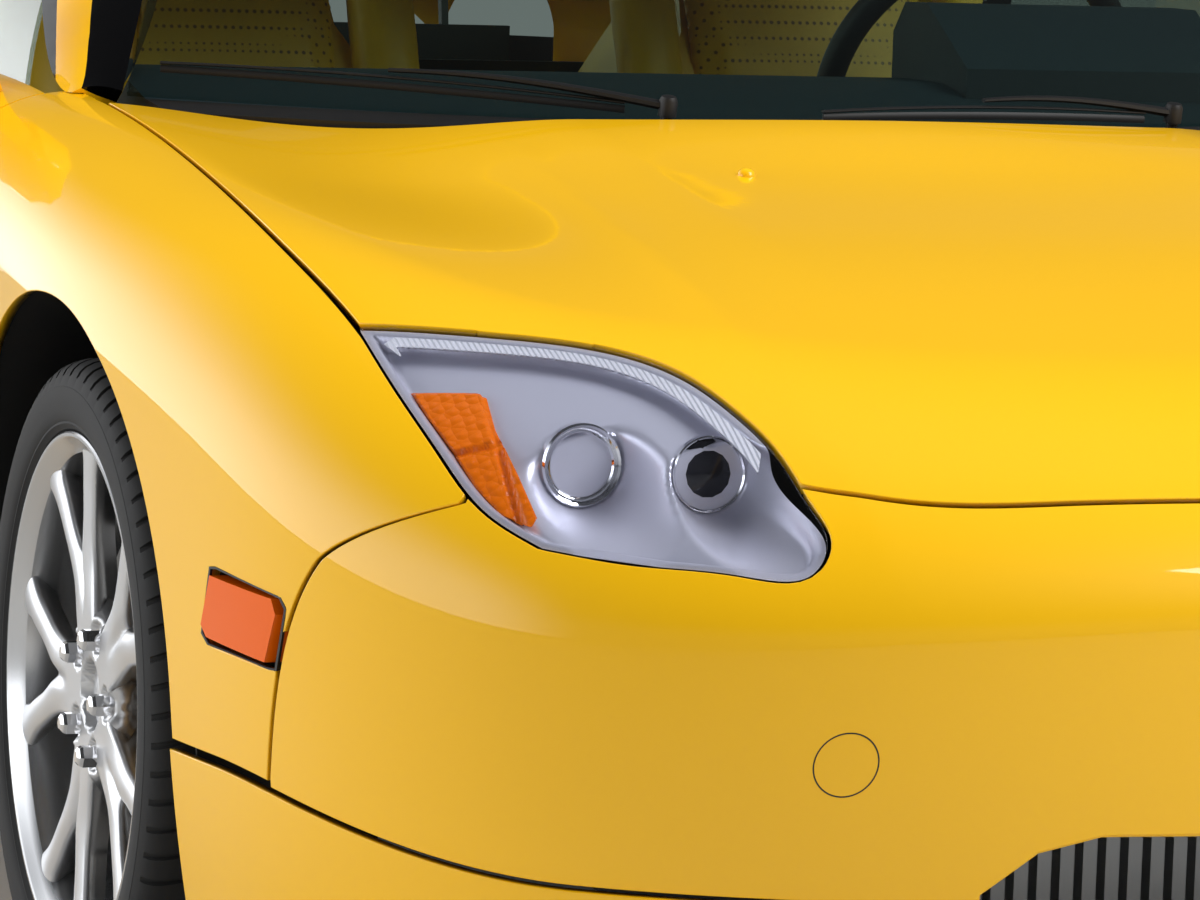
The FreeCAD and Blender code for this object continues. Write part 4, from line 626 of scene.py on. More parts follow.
def bumperPanel():
    bm = flatGrid(*grids["bumper"])
    trim(bm, lambda t, s: seamT(s) - gap / 2 - lip - np.abs(t))
    trim(bm, lambda t, s: skin(t, s)[:, 2] - lowerSeamZ(t) - lip - 0.5)

    def underBonnet(t, s):
        points = skin(t, s)
        over = bonnetFront(points[:, 0]) - points[:, 1] - lip
        return np.where(np.abs(points[:, 0]) < 560, over, edges["clear"])
    trim(bm, underBonnet)
    trim(bm, lambda t, s: bothLamps(skin(t, s), 2.0 + lip))
    trim(bm, lambda t, s: mouthKeep(skin(t, s)))
    return layPanel("frontBumperSkin", bm, skin, 9.0)


mouth = {"half": 362.0, "low": 205.0, "middle": 265.0, "bottom": 207.0}
mouthSide = [(mouth["half"], 278.0), (320.0, 312.0), (270.0, 325.0)]  # x and height, up one side
mouthArch = mouthSide + [(-x, z) for x, z in mouthSide[::-1]]
mouthLoop = np.array([(-mouth["half"], 100.0), (mouth["half"], 100.0)] + mouthArch)


def mouthKeep(points):
    return -insideBy(points[:, [0, 2]], mouthLoop) - lip


def chinPanel():
    bm = flatGrid(*grids["chin"])
    trim(bm, lambda t, s: lowerSeamZ(t) - 3.0 - lip - skin(t, s)[:, 2])
    trim(bm, archKeep)

    def chinMouth(t, s):
        points = skin(t, s)
        return np.maximum(np.abs(points[:, 0]) - mouth["half"], mouth["low"] - points[:, 2]) - lip
    trim(bm, chinMouth)
    return layPanel("chinLip", bm, lambda t, s: skin(t, s) + normalsOf(skin, t, s) * 3.0, 9.0)


def bonnetPanel():
    bm = flatGrid(*grids["bonnet"])
    trim(bm, lambda x, y: bonnetEdge(y) - gap / 2 - lip - np.abs(x))
    trim(bm, lambda x, y: y - bonnetFront(x) - gap + 1.0 - lip)
    trim(bm, lambda x, y: bonnetRear(x) - y)
    trim(bm, lambda x, y: bothLamps(topSkin(x, y), 3.0 + lip))
    return layPanel("bonnetSkin", bm, topSkin, car["metal"], normalStep=(0.5, 0.5))


give(bumperPanel(), paint, "root", "body_paint", "front_bumper")
give(bonnetPanel(), paint, "bonnet", "body_paint", "bonnet")
give(chinPanel(), paint, "root", "body_paint", "chin_spoiler")
for side, name in sides:
    give(fenderPanel(side), paint, "root", "body_paint", "front_fender_" + name)
print("front panels laid")

# What keeps its built shape: a merged copy of each solid, smooth where its faces meet at a small angle
bodyOf = {node: body for body, names in frame["record"]["behaviour"]["bodies"].items() for node in names}
slotOf = {part["node"]: part["material_slot"] for part in frame["record"]["subparts"]}


def skinNormals(points):  # for points near the skin: its normal there, and how far off it they lie
    flipped = points[:, 0] < 0
    x, y, z = np.abs(points[:, 0]), points[:, 1], points[:, 2]
    low, high = planRange(y)
    tail = y > 1850
    low = np.where(tail, outlineAt(np.full(y.shape, 1750.0)), low)
    t, d = planFoot(x, y, low, np.where(tail, outlineEnd, high), 40)
    s = np.where(z > topPoint(t, 0.0 * t)[..., 2], shareOfInset(t, d), shareOfHeight(t, z))
    normals = normalsOf(skinHalf, t, s)
    off = np.linalg.norm(skinHalf(t, s) - np.stack([x, y, z], axis=-1), axis=-1)
    normals[:, 0] *= np.where(flipped, -1.0, 1.0)
    return normals, off


def shadeAsSkin(thing, reach=1.2):  # corners that lie on the car's skin get its exact normal
    mesh = thing.data
    count = len(mesh.vertices)
    places, faceNormals = np.empty(count * 3), np.empty(len(mesh.polygons) * 3)
    mesh.vertices.foreach_get("co", places)
    mesh.polygons.foreach_get("normal", faceNormals)
    normals, off = skinNormals(places.reshape(-1, 3) / mm)
    faceNormals = faceNormals.reshape(-1, 3)
    custom = np.zeros((len(mesh.loops), 3))
    for face in mesh.polygons:
        for loop in face.loop_indices:
            vert = mesh.loops[loop].vertex_index
            if off[vert] < reach and np.dot(normals[vert], faceNormals[face.index]) > 0.9:
                custom[loop] = normals[vert]
    mesh.normals_split_custom_set([tuple(n) for n in custom])


def dress(name, material, angle=32.0, curved=False):
    bm = bmesh.new()
    bm.from_mesh(nodes[name].data)
    bmesh.ops.remove_doubles(bm, verts=bm.verts, dist=0.02 * mm)
    sharpen(bm, angle)
    thing = finishMesh(name + "Dressed", bm)
    if curved:
        shadeAsSkin(thing)
    return give(thing, material, bodyOf[name], slotOf[name], name)


def caliperPaint(name, y, z):  # the caliper's faces get the bronze paint, the upright stays bare
    mesh = bpy.data.objects[name].data
    mesh.materials.append(bronze)
    for face in mesh.polygons:
        _, fy, fz = face.center / mm
        if 88 < math.hypot(fy - y, fz - z) < 190 and abs(face.center.x / mm) > 725 and abs(fy - y) > 40:
            face.material_index = 1


def clearSheet(name, tint, gloss, share):  # the view goes through, and the surface mirrors at a glance
    material, tree = emptyMaterial(name)
    through = addNode(tree, "ShaderNodeBsdfTransparent", {"Color": linear(tint)})
    mirror = addNode(tree, "ShaderNodeBsdfGlossy", {"Color": linear("#FFFFFF"), "Roughness": gloss})
    facing = addNode(tree, "ShaderNodeLayerWeight", {"Blend": 0.5}).outputs["Facing"]
    glance = addNode(tree, "ShaderNodeMath", {0: facing, 1: 5.0}, operation="POWER").outputs[0]
    amount = addNode(tree, "ShaderNodeMath", {0: glance, 1: 0.9, 2: share}, operation="MULTIPLY_ADD",
                     use_clamp=True).outputs[0]
    mixed = addNode(tree, "ShaderNodeMixShader", {0: amount, 1: through.outputs[0], 2: mirror.outputs[0]})
    addNode(tree, "ShaderNodeOutputMaterial", {"Surface": mixed.outputs[0]})
    return material


def leather(name, colour, holes):  # dyed leather, with rows of small holes where holes is their distance in mm; the holes are painted dark as painted shade inside them
    material, tree, shader = newMaterial(name, {"Roughness": 0.48})
    grain = noiseAt(tree, 1.6, 4.0)
    wearAndHoleShade = ranged(tree, noiseAt(tree, 90.0, 2.0), 0.35, 0.65, 0.82, 1.0)
    # where holes is set, each hole is coloured towards the dark tint: painted shade inside the hole
    if holes:
        dots = addNode(tree, "ShaderNodeTexVoronoi", {"Vector": objectPlace(tree), "Scale": 1000.0 / holes,
                                                      "Randomness": 0.0})
        wide = ranged(tree, dots.outputs["Distance"], 0.22, 0.30, 0.0, 1.0)
        wearAndHoleShade, grain = joined(tree, wearAndHoleShade, wide, "MULTIPLY"), joined(tree, grain, wide, "MULTIPLY")
    # the dark tint gives the worn patches, and the painted shade in the holes
    tint = addNode(tree, "ShaderNodeMix", {"Factor": wearAndHoleShade, "A": linear("#7A5A0C"), "B": linear(colour)},
                   data_type="RGBA")
    tree.links.new(tint.outputs[2], shader.inputs["Base Color"])
    addBump(tree, shader, grain, 0.3, 0.7)
    return material


def metal(name, colour, roughness, metallic=1.0, grainMm=0.0):
    material, tree, shader = newMaterial(name, {"Base Color": linear(colour), "Roughness": roughness,
                                                "Metallic": metallic})
    if grainMm:
        addBump(tree, shader, noiseAt(tree, grainMm, 3.0), 0.15, 0.5)
    return material


def moulded(name, colour, roughness, cellMm=0.0):  # coloured plastic, with small round lenses where cellMm is set
    material, tree, shader = newMaterial(name, {"Base Color": linear(colour), "Roughness": roughness,
                                                "Specular IOR Level": 0.3})
    if cellMm:
        cells = addNode(tree, "ShaderNodeTexVoronoi", {"Vector": objectPlace(tree), "Scale": 1000.0 / cellMm,
                                                       "Randomness": 0.25})
        addBump(tree, shader, cells.outputs["Distance"], -2.5)
    return material


screenGlass = clearSheet("laminatedSafetyGlass", "#D3DDD8", 0.02, 0.03)
lampCover = clearSheet("clearPolycarbonate", "#FBFCFF", 0.01, 0.03)
silverPaint = metal("silverPaintedAlloy", "#C8C9CB", 0.33, 0.75)
chrome = metal("polishedChrome", "#E8E8EA", 0.06)
castAlloy = metal("castAlloy", "#8D8F91", 0.5, 0.9, 2.5)
stainless = metal("brushedStainless", "#B9B9B7", 0.24)
bronze = metal("bronzePaintedCaliper", "#9A7432", 0.4, 0.6)
lampSilver = metal("satinSilveredBowl", "#D4D4E0", 0.3, 0.45)
rubber = mouldedPlastic("tyreRubber", "#0E0E0E", 0.78, 1.5)
amber = moulded("amberLens", "#EE6400", 0.2)
amberCells = moulded("amberCellLens", "#F07200", 0.2, 9.0)
redLens = moulded("redLens", "#A50C0C", 0.1)
# the high beam's opaque dark glass is painted shade, standing in for the dark inside of a clear lamp
paintedShadeLens = moulded("lampGlassPaintedShade", "#202026", 0.06)
yellowLeather = leather("yellowLeather", "#E2B422", 0)
holedLeather = leather("perforatedYellowLeather", "#DDAE1F", 9.0)
dashSkin = mouldedPlastic("blueGreyDashSkin", "#26333D", 0.6)
darkLeather = mouldedPlastic("darkStitchedLeather", "#1B2026", 0.5, 2.0)
blackGloss = moulded("blackGlassBorder", "#060607", 0.08)
print("more materials made")

# Headlamps: a flush clear cover over a silvered bowl with two round lamps, an amber block and a ribbed strip
lampAim = np.array([0.0, -1.0, 0.0])
lampBowl = {"rim": 4.2, "rimWide": 6.0, "base": 17.0, "curve": 1.5}
lampSetBack, lampFoot = np.array([-18.0, 47.0, -6.0]), 4.0
lampRows = [  # place t, place s, foot radius, mouth radius, mouth's shift inwards and down
    (722, 1.464, 34.0, 62.0, -4.6, 5.3), (602, 1.488, 31.0, 51.0, 7.4, 18.3)]
amberCorners = [(163.0, 51.0), (99.0, 56.0), (79.0, 18.0), (44.0, -32.0), (18.0, -72.0), (21.0, -83.0),
                (51.0, -72.0), (79.0, -47.0), (107.0, -12.0), (139.0, 22.0)]


def spinProfile(name, profile, centre, axis, count=64, smooth=30.0, mirror=1):
    # profile: (radius, distance along the axis) corners, turned about the axis through the centre
    centre, axis = np.array(centre, float) * [mirror, 1, 1], np.array(axis, float) * [mirror, 1, 1]
    across = unit(np.cross(axis, [0.0, 0.0, 1.0]))
    bm = bmesh.new()
    verts = [bm.verts.new(Vector(centre + across * r + axis * d) * mm) for r, d in profile]
    edges = [bm.edges.new(pair) for pair in zip(verts, verts[1:])]
    bmesh.ops.spin(bm, geom=verts + edges, cent=Vector(centre) * mm, axis=Vector(axis), angle=2 * math.pi,
                   steps=count, use_merge=True)
    bmesh.ops.remove_doubles(bm, verts=bm.verts, dist=0.005 * mm)
    bmesh.ops.recalc_face_normals(bm, faces=bm.faces)
    sharpen(bm, smooth)
    return finishMesh(name, bm)


def insideLamp(t, s):
    return insideBy(lampPlane(skin(t, s)), lampLoop)


def bowlPoint(t, s):
    surface = skin(t, s)
    normal = normalsOf(skin, t, s)
    inside = insideBy(lampPlane(surface), lampLoop)
    depth = lerp(lampBowl["rim"], lampBowl["base"], smoothStep((inside - lampBowl["rimWide"]) / 6.0))
    points = surface - normal * depth[..., None]
    sunk = np.zeros(points.shape[:-1])
    for at, share, foot, mouthRadius, shiftIn, shiftDown in lampRows:
        centre = skin(at, share) + lampSetBack
        x, z = points[..., 0] - centre[0], points[..., 2] - centre[2]

        def outsideFunnel(w):
            return np.hypot(x + shiftIn * w, z + shiftDown * w) > lerp(foot, mouthRadius, w)
        w = search(np.zeros(x.shape), np.ones(x.shape), outsideFunnel, 24)
        fit = centre[1] + lampFoot - points[..., 1]
        sunk = np.maximum(sunk, np.where(w < 1 - 1e-4, fit * (1 - w) ** lampBowl["curve"], 0.0))
    points[..., 1] += np.maximum(sunk, 0.0)
    return points


def lampBowlPanel(side):
    bm = flatGrid(*grids["lampBowl"])
    trim(bm, lambda t, s: insideLamp(t, s) - 0.8)
    placeVerts(bm, bowlPoint(*flatPlaces(bm.verts)), side)
    sharpen(bm, 24)
    return finishMesh("lampBowl", bm)


def lampCoverPanel(side):
    bm = flatGrid(*grids["lampCover"])
    trim(bm, lambda t, s: insideLamp(t, s) - 1.4)
    return layPanel("lampCoverSheet", bm, skin, 3.0, lip=0.6, side=side)


def amberBlock(side):
    loop = np.array(amberCorners)
    bm = flatGrid(*grids["amber"])
    trim(bm, lambda t, s: insideBy(lampPlane(skin(t, s)), loop) - 1.0)
    u, v = flatPlaces(bm.verts)
    flat = lampPlane(skin(u, v))
    across, along = np.abs(flat[:, 1] + 0.35 * (flat[:, 0] - 90) + 8), np.abs(flat[:, 0] - 72 - 0.5 * flat[:, 1])
    depth = 9.0 + 3.5 * smoothStep((4.5 - np.minimum(across, along)) / 2.0)  # deeper along both dividing grooves
    placeVerts(bm, skin(u, v) - normalsOf(skin, u, v) * depth[:, None], side)
    rim = [edge for edge in bm.edges if edge.is_boundary]
    grown = bmesh.ops.extrude_edge_only(bm, edges=rim)["geom"]
    for vert in grown:
        if isinstance(vert, bmesh.types.BMVert):
            vert.co.y += 9 * mm
    return finishMesh("amberBlock", bm)


def ribbedPlastic():  # clear lens strip with fine upright ribs
    material, tree, shader = newMaterial("ribbedClearPlastic", {"Base Color": linear("#DCDDE3"), "Roughness": 0.12})
    ribs = addNode(tree, "ShaderNodeTexWave", {"Vector": objectPlace(tree), "Scale": 78.0}, bands_direction="X")
    addBump(tree, shader, ribs.outputs["Fac"], 1.2)
    return material


def ribbedStrip(side):  # runs along the lamp's upper edge
    bm = flatGrid(*grids["lampRibs"])
    trim(bm, lambda t, s: insideLamp(t, s) - 8.0)
    trim(bm, lambda t, s: 19.0 - insideLamp(t, s))
    trim(bm, lambda t, s: s - 1.44 - 0.0004 * (t - 560.0))
    return layPanel("lampRibs", bm, lambda t, s: skin(t, s) - normalsOf(skin, t, s) * 4.6, 2.0, lip=0.6, side=side)


ribbedLens = ribbedPlastic()
projectorGlass = newMaterial("projectorLensGlass", {"Base Color": linear("#F2F1EA"), "Roughness": 0.03, "IOR": 1.5,
                                                    "Transmission Weight": 0.85})[0]
lampRounds = [  # profiles of radius and distance forwards, faces round, the bowl's smoothing angle, bowl and glass
    {"ring": [(33.5, -8), (33.5, 0), (32, 2), (30.2, 1), (29.2, -3), (28.4, -2), (27, -0.5), (25.6, -2),
              (25, -18)],
     "glass": [(24.8, -22), (23.5, -17), (19.5, -12), (13, -8.5), (6, -7), (0, -6.6)],
     "bowl": [(24.6, -22), (21, -30), (14, -37), (6, -41), (0, -42)],
     "count": 64, "smooth": 60.0, "looks": (lampSilver, projectorGlass)},
    # the second round lamp's glass is opaque and dark: painted shade over its chrome reflector
    {"ring": [(30.6, -8), (30.6, -2), (29.6, -0.6), (28.4, -2), (28.0, -12)],
     "glass": [(28.0, -12), (26.5, -7.5), (21, -4.5), (13, -2.6), (5, -1.8), (0, -1.7)],
     "bowl": [(28.2, -12), (26, -20), (21, -28), (14, -35), (7, -39), (6, -39)],
     "count": 14, "smooth": 1.0, "looks": (chrome, paintedShadeLens)}]


def headlamp(side, name):
    def inBowl(thing, material):
        give(thing, material, "root", "lamp_bowl", "headlamp_" + name)
    inBowl(lampBowlPanel(side), lampSilver)
    give(lampCoverPanel(side), lampCover, "root", "lamp_glass", "headlamp_lens_" + name)
    inBowl(amberBlock(side), amberCells)
    inBowl(ribbedStrip(side), ribbedLens)
    for (t, s, *_), form in zip(lampRows, lampRounds):
        centre, count = skin(t, s) + lampSetBack, form["count"]
        inBowl(spinProfile("lampRing", form["ring"], centre, lampAim, 72, mirror=side), chrome)
        bowl, glass = form["looks"]
        inBowl(spinProfile("lampReflector", form["bowl"], centre, lampAim, count, form["smooth"], side), bowl)
        inBowl(spinProfile("lampLens", form["glass"], centre, lampAim, count, 12.0, side), glass)


for side, name in sides:
    headlamp(side, name)
print("headlamps made")


# Wheels: a dished face with five forked spokes on a stepped barrel, a disc behind it, nuts round a sunken cap
wheelRows = {  # place: centre x, centre y, tyre radius, tyre half width, rim half width, hub face x
    "front": (755.0, frontAxleY, 302.0, 107.5, 101.0, 808.0),
    "rear": (770.0, rearAxleY, 318.0, 127.5, 121.0, 826.0)}
rim = {"flange": 235.6, "spokes": 5, "fork": 112.0, "face": 224.5, "lip": 5.0, "depth": 27.0, "hub": 72.0,
       "nuts": 5, "nutRing": 55.0}
spokeRows = [(40.0, 0.0, 25.0), (70.0, 4.0, 26.0), (108.0, 11.0, 24.0), (140.0, 25.0, 18.0), (165.0, 37.0, 16.5),
             (195.0, 50.0, 17.5), (214.0, 60.0, 21.0), (226.0, 64.0, 27.0)]  # radius, half spread, half width
spokeSpread = Curve([r[0] for r in spokeRows], [r[1] for r in spokeRows])
spokeWidth = Curve([r[0] for r in spokeRows], [r[2] for r in spokeRows])


def fromSpoke(y, z):  # the radius, and how far round it a place lies from the middle of the nearest spoke
    radius = np.hypot(y, z)
    pitch = 2 * math.pi / rim["spokes"]
    return radius, np.abs((np.arctan2(z, y) + pitch / 2) % pitch - pitch / 2) * radius


def spokeKeep(y, z):  # above zero inside a spoke, how far from its edge in mm
    radius, along = fromSpoke(y, z)
    branch = spokeWidth(radius) - rim["lip"] - np.abs(along - spokeSpread(radius))
    inner = np.where(along < spokeSpread(radius), spokeWidth(radius) - rim["lip"], branch)
    forked = np.where(radius < rim["fork"], inner, branch)
    return np.maximum(forked, rim["hub"] - rim["lip"] - radius)


def wheelFace(inner, outer):
    rise = Curve([0.0, 50.0, 110.0, 165.0, 214.0, 226.0],
                 [inner + 27, inner + 30, inner + 32, outer - 4, outer - 1, outer])

    def place(y, z):
        radius, along = fromSpoke(y, z)
        off = np.clip(np.abs(along - spokeSpread(radius)) / spokeWidth(radius), 0, 1)
        crown = 4.5 * off * off * smoothStep((radius - 60) / 60)
        groove = 4.0 * np.exp(-((along / 7.0) ** 2)) * smoothStep((radius - 70) / 40)
        turn = nutTurn(y, z)
        nuts = np.hypot(y - rim["nutRing"] * np.cos(turn), z - rim["nutRing"] * np.sin(turn))
        pocket = 6.0 * smoothStep((17.0 - nuts) / 4.0)
        sunk = 16.0 * smoothStep((33.0 - radius) / 5.0)
        return np.stack([rise(radius) - crown - groove - np.maximum(pocket, sunk), y, z], axis=-1)
    return place


def nutTurn(y, z):  # the angle of the nut nearest to a place
    pitch = 2 * math.pi / rim["nuts"]
    return (np.floor(np.arctan2(z, y) / pitch) + 0.5) * pitch


def spokePanel(inner, outer):
    bm = flatGrid(*grids["wheelFace"])
    trim(bm, lambda y, z: rim["face"] - rim["lip"] - np.hypot(y, z))
    trim(bm, spokeKeep)
    return layPanel("wheelFace", bm, wheelFace(inner, outer), rim["depth"], lip=rim["lip"], normalStep=(0.8, 0.8))


def ringAbout(name, profile, count=96, smooth=28.0):  # profile: (distance along X, radius), turned about the X axis
    return spinProfile(name, [(r, d) for d, r in profile], (0, 0, 0), (1.0, 0.0, 0.0), count, smooth)


def nutPiece(inner, turn):
    bm = bmesh.new()
    rows = [(inner + 18, 10.5), (inner + 40, 10.5), (inner + 43, 9.0), (inner + 45.5, 5.5), (inner + 46, 0.0)]
    rings = []
    for x, r in rows[:-1]:
        rings.append([bm.verts.new(Vector((x, rim["nutRing"] * math.cos(turn) + r * math.cos(k * math.pi / 3),
                                           rim["nutRing"] * math.sin(turn) + r * math.sin(k * math.pi / 3))) * mm)
                      for k in range(6)])
    bridge(bm, rings)
    bm.faces.new(rings[-1])
    thing = finishMesh("wheelNut", bm)
    for face in thing.data.polygons:
        face.use_smooth = False
    return thing


def joinPieces(name, things):
    bpy.ops.object.select_all(action="DESELECT")
    for thing in things:
        thing.select_set(True)
    bpy.context.view_layer.objects.active = things[0]
    bpy.ops.object.join()
    things[0].name = name
    return things[0]


def moved(thing, offset, flip, name):  # a copy of a piece made at the origin, with its place in its mesh
    copy = thing.copy()
    copy.data = thing.data.copy()
    copy.name = name
    normals = np.empty(len(copy.data.loops) * 3)
    copy.data.corner_normals.foreach_get("vector", normals)
    normals = normals.reshape(-1, 3) * (-1 if flip else 1, 1, 1)
    bm = bmesh.new()
    bm.from_mesh(copy.data)
    for vert in bm.verts:
        vert.co = Vector(((-1 if flip else 1) * (vert.co.x + offset[0] * mm), vert.co.y + offset[1] * mm,
                          vert.co.z + offset[2] * mm))
    order = [[loop.index for loop in face.loops] for face in bm.faces]
    if flip:
        bmesh.ops.reverse_faces(bm, faces=bm.faces)
    bm.to_mesh(copy.data)
    bm.free()
    custom = []
    for face, loops in zip(copy.data.polygons, order):
        custom += [tuple(normals[k]) for k in ([loops[0]] + loops[:0:-1] if flip else loops)]
    copy.data.normals_split_custom_set(custom)
    bpy.context.scene.collection.objects.link(copy)
    return copy


def wheelParts(place):
    _, _, tyreRadius, tyreHalf, half, faceX = wheelRows[place]
    inner, outer = faceX - wheelRows[place][0], half - 10
    barrel = [(-half, 214.0), (-half, rim["flange"]), (-half + 7, rim["flange"]), (-half + 12, 221.0),
              (-half + 42, 218.0), (-20, 214.0), (30, 214.0), (half - 34, 218.0), (half - 12, 221.0),
              (half - 8, 233.0), (half - 5.5, rim["flange"]), (half - 1.5, rim["flange"] - 0.4),
              (half, 233.6), (half, 231.0), (half - 1.4, 229.0), (half - 4.6, 226.5), (half - 8.0, 221.5),
              (half - 14, 216.5), (half - 36, 212.0), (30, 209.0), (-20, 208.0), (-half + 40, 210.0), (-half, 214.0)]
    cap = [(inner + 6, 31.5), (inner + 15.0, 31.5), (inner + 18.0, 29.5), (inner + 17.0, 26.0), (inner + 19.0, 23.0),
           (inner + 21.5, 12.0), (inner + 22.2, 0.0)]
    discX = inner - 20
    disc = [(discX - 28, 66.0), (discX - 28, 150.0), (discX - 19, 150.0), (discX - 19, 142.0), (discX - 9, 142.0),
            (discX - 9, 150.0), (discX, 150.0), (discX, 84.0), (discX + 8, 80.0), (discX + 20, 74.0),
            (inner + 4, 66.0)]
    nuts = [nutPiece(inner, (k + 0.5) * 2 * math.pi / rim["nuts"]) for k in range(rim["nuts"])]
    return {"wheelBarrel": (ringAbout("wheelBarrel", barrel, 128), polishedAlloy, "wheel"),
            "wheelFace": (spokePanel(inner, outer), silverPaint, "wheel"),
            "wheelCap": (ringAbout("wheelCap", cap, 48), silverPaint, "wheel"),
            "wheelNuts": (joinPieces("wheelNuts", nuts), chrome, "wheel"),
            "brakeDisc": (ringAbout("brakeDisc", disc, 96), discIron, "wheel"),
            "tyre": (tyrePiece(tyreRadius, tyreHalf, half), rubber, "tyre")}


tread = {"pitches": 74, "grooves": (-52.0, -18.0, 18.0, 52.0), "grooveHalf": 4.6, "groove": 7.0, "cut": 4.0}


def tyrePiece(radius, half, rimHalf):
    flange = rim["flange"]
    scale = (half - 34) / 73.5
    rows = [(rimHalf - 12.3, flange - 9), (rimHalf - 6.6, flange + 0.5), (rimHalf - 1.5, flange + 2.0),
            (half - 7, flange + 3.4), (half - 4.0, flange + 6.5), (half - 4.2, flange + 8.5),
            (half - 2.2, flange + 11.5), (half - 1.0, flange + 18), (half - 0.1, flange + 25),
            (half, (radius + flange) / 2), (half - 0.7, radius - 27), (half - 1.2, radius - 26.4),
            (half - 2.0, radius - 23), (half - 4.2, radius - 17), (half - 7.5, radius - 11.5),
            (half - 13.0, radius - 6.8), (half - 20.0, radius - 3.8), (half - 28.0, radius - 1.9)]
    treadHalf = half - 30
    stops = []
    wideHalf = tread["grooveHalf"]
    for g in tread["grooves"]:
        g *= scale
        stops += [(g - wideHalf - 1, 0), (g - wideHalf + 0.6, 1), (g + wideHalf - 0.6, 1), (g + wideHalf + 1, 0)]
    middle = [(x, radius - 1.6 * (x / treadHalf) ** 2 - tread["groove"] * deep) for x, deep in stops]
    profile = rows + middle[::-1] + [(-x, r) for x, r in rows[::-1]]
    xs, rs = np.array(profile).T
    steps = np.array([0.0, 0.38, 0.76, 0.80, 0.96])
    turns = (np.arange(tread["pitches"])[:, None] + steps[None, :]).ravel() / tread["pitches"] * 2 * math.pi
    deep = np.tile([0.0, 0.0, 0.0, 1.0, 1.0], tread["pitches"])
    wide = smoothStep((np.abs(xs) - treadHalf * 0.80) / 6) * smoothStep((half - 2.5 - np.abs(xs)) / 8)
    wide *= rs > radius - 24
    shift = np.where(xs > 0, 0.0, 0.5)
    bm = bmesh.new()
    columns = []
    for turn, cut in zip(turns, deep):
        column = []
        for x, r, w, off in zip(xs, rs, wide, shift):
            angle = turn + (off + 0.010 * abs(x)) / tread["pitches"] * 2 * math.pi
            size = r - tread["cut"] * cut * w
            column.append(bm.verts.new(Vector((x - math.copysign(1.6, x) * cut * w, size * math.cos(angle),
                                               size * math.sin(angle))) * mm))
        columns.append(column)
    bridge(bm, columns + columns[:1], closed=False)
    bmesh.ops.recalc_face_normals(bm, faces=bm.faces)
    sharpen(bm, 24)
    return finishMesh("tyre", bm)


def discMaterial():  # machined iron with a fine bumpy grain
    material, tree, shader = newMaterial("machinedDiscIron", {"Base Color": linear("#8E8C89"), "Roughness": 0.32,
                                                              "Metallic": 0.9})
    addBump(tree, shader, noiseAt(tree, 2.2, 2.0), 0.06, 0.4)
    return material


discIron = discMaterial()
polishedAlloy = metal("polishedAlloy", "#BFC0C2", 0.22, 0.9)
for place, (x, y, radius, _, _, _) in wheelRows.items():
    for name, (thing, material, kind) in wheelParts(place).items():
        for flip, side in ((False, "left"), (True, "right")):
            piece = moved(thing, (x, y, radius), flip, "%s_%s_%s" % (name, place, side))
            node = "%s_%s_%s" % (kind, place, side)
            give(piece, material, bodyOf[node], slotOf[node], node)
        bpy.data.objects.remove(thing)
print("wheels made")

# The screen pillars are painted on a narrow strip between the side glass's black frame and the screen's border
pillarStrips = [((-712.0, -612.0, 893.0), (-732.0, -688.0, 854.0)),
                ((-690.0, -663.0, 896.0), (-711.0, -734.0, 856.0))]
pillar = {"outwards": (-0.84, -0.54, 0.0), "top": -380.0, "low": 800.0}


def blackBorders(thing):
    mesh = thing.data
    mesh.materials.append(blackGloss)
    bm = bmesh.new()
    bm.from_mesh(mesh)
    for side in (1, -1):
        planes = []
        for near, far in pillarStrips:
            normal = unit(np.cross(np.array(far) - np.array(near), pillar["outwards"]))
            planes.append((np.array(near) * [side, 1, 1], normal * [side, 1, 1]))
        planes.append((np.array([0.0, pillar["top"], 0.0]), np.array([0.0, 1.0, 0.0])))
        for point, normal in planes:
            geom = bm.verts[:] + bm.edges[:] + bm.faces[:]
            bmesh.ops.bisect_plane(bm, geom=geom, plane_co=Vector(point) * mm, plane_no=Vector(normal))
        for face in bm.faces:
            centre = np.array(face.calc_center_median()) / mm
            if centre[0] * side > 0 or centre[1] > pillar["top"] or centre[2] < pillar["low"]:
                continue
            beyond = [np.dot(centre - point, normal) for point, normal in planes[:2]]
            if beyond[0] * beyond[1] > 0:
                face.material_index = 1
    bm.to_mesh(mesh)
    bm.free()


# Seats: padded leather over the built shell, the middle panels with rows of small holes
seatX = 367.0
seatBack = Curve([0.0, 190.0, 395.0, 530.0, 640.0], [-66.0, -16.0, 38.0, 96.0, 150.0])
seatBackZ = Curve([0.0, 190.0, 395.0, 530.0, 640.0], [424.0, 606.0, 800.0, 922.0, 1016.0])
seatBase = Curve([0.0, 180.0, 360.0, 500.0], [-560.0, -385.0, -210.0, -75.0])
seatBaseZ = Curve([0.0, 180.0, 360.0, 500.0], [352.0, 356.0, 336.0, 334.0])
padRows = [  # part, low x, high x, low and high place along it, thickness, how far it stands out, holes
    ("Back", -160.0, 160.0, 60.0, 560.0, 30.0, 9.0, True), ("Back", -244.0, -168.0, 40.0, 520.0, 58.0, 30.0, False),
    ("Back", 168.0, 244.0, 40.0, 520.0, 58.0, 30.0, False), ("Back", -118.0, 118.0, 566.0, 640.0, 34.0, 10.0, False),
    ("Base", -150.0, 150.0, 20.0, 440.0, 30.0, 9.0, True), ("Base", -240.0, -158.0, 10.0, 450.0, 52.0, 26.0, False),
    ("Base", 158.0, 240.0, 10.0, 450.0, 52.0, 26.0, False)]


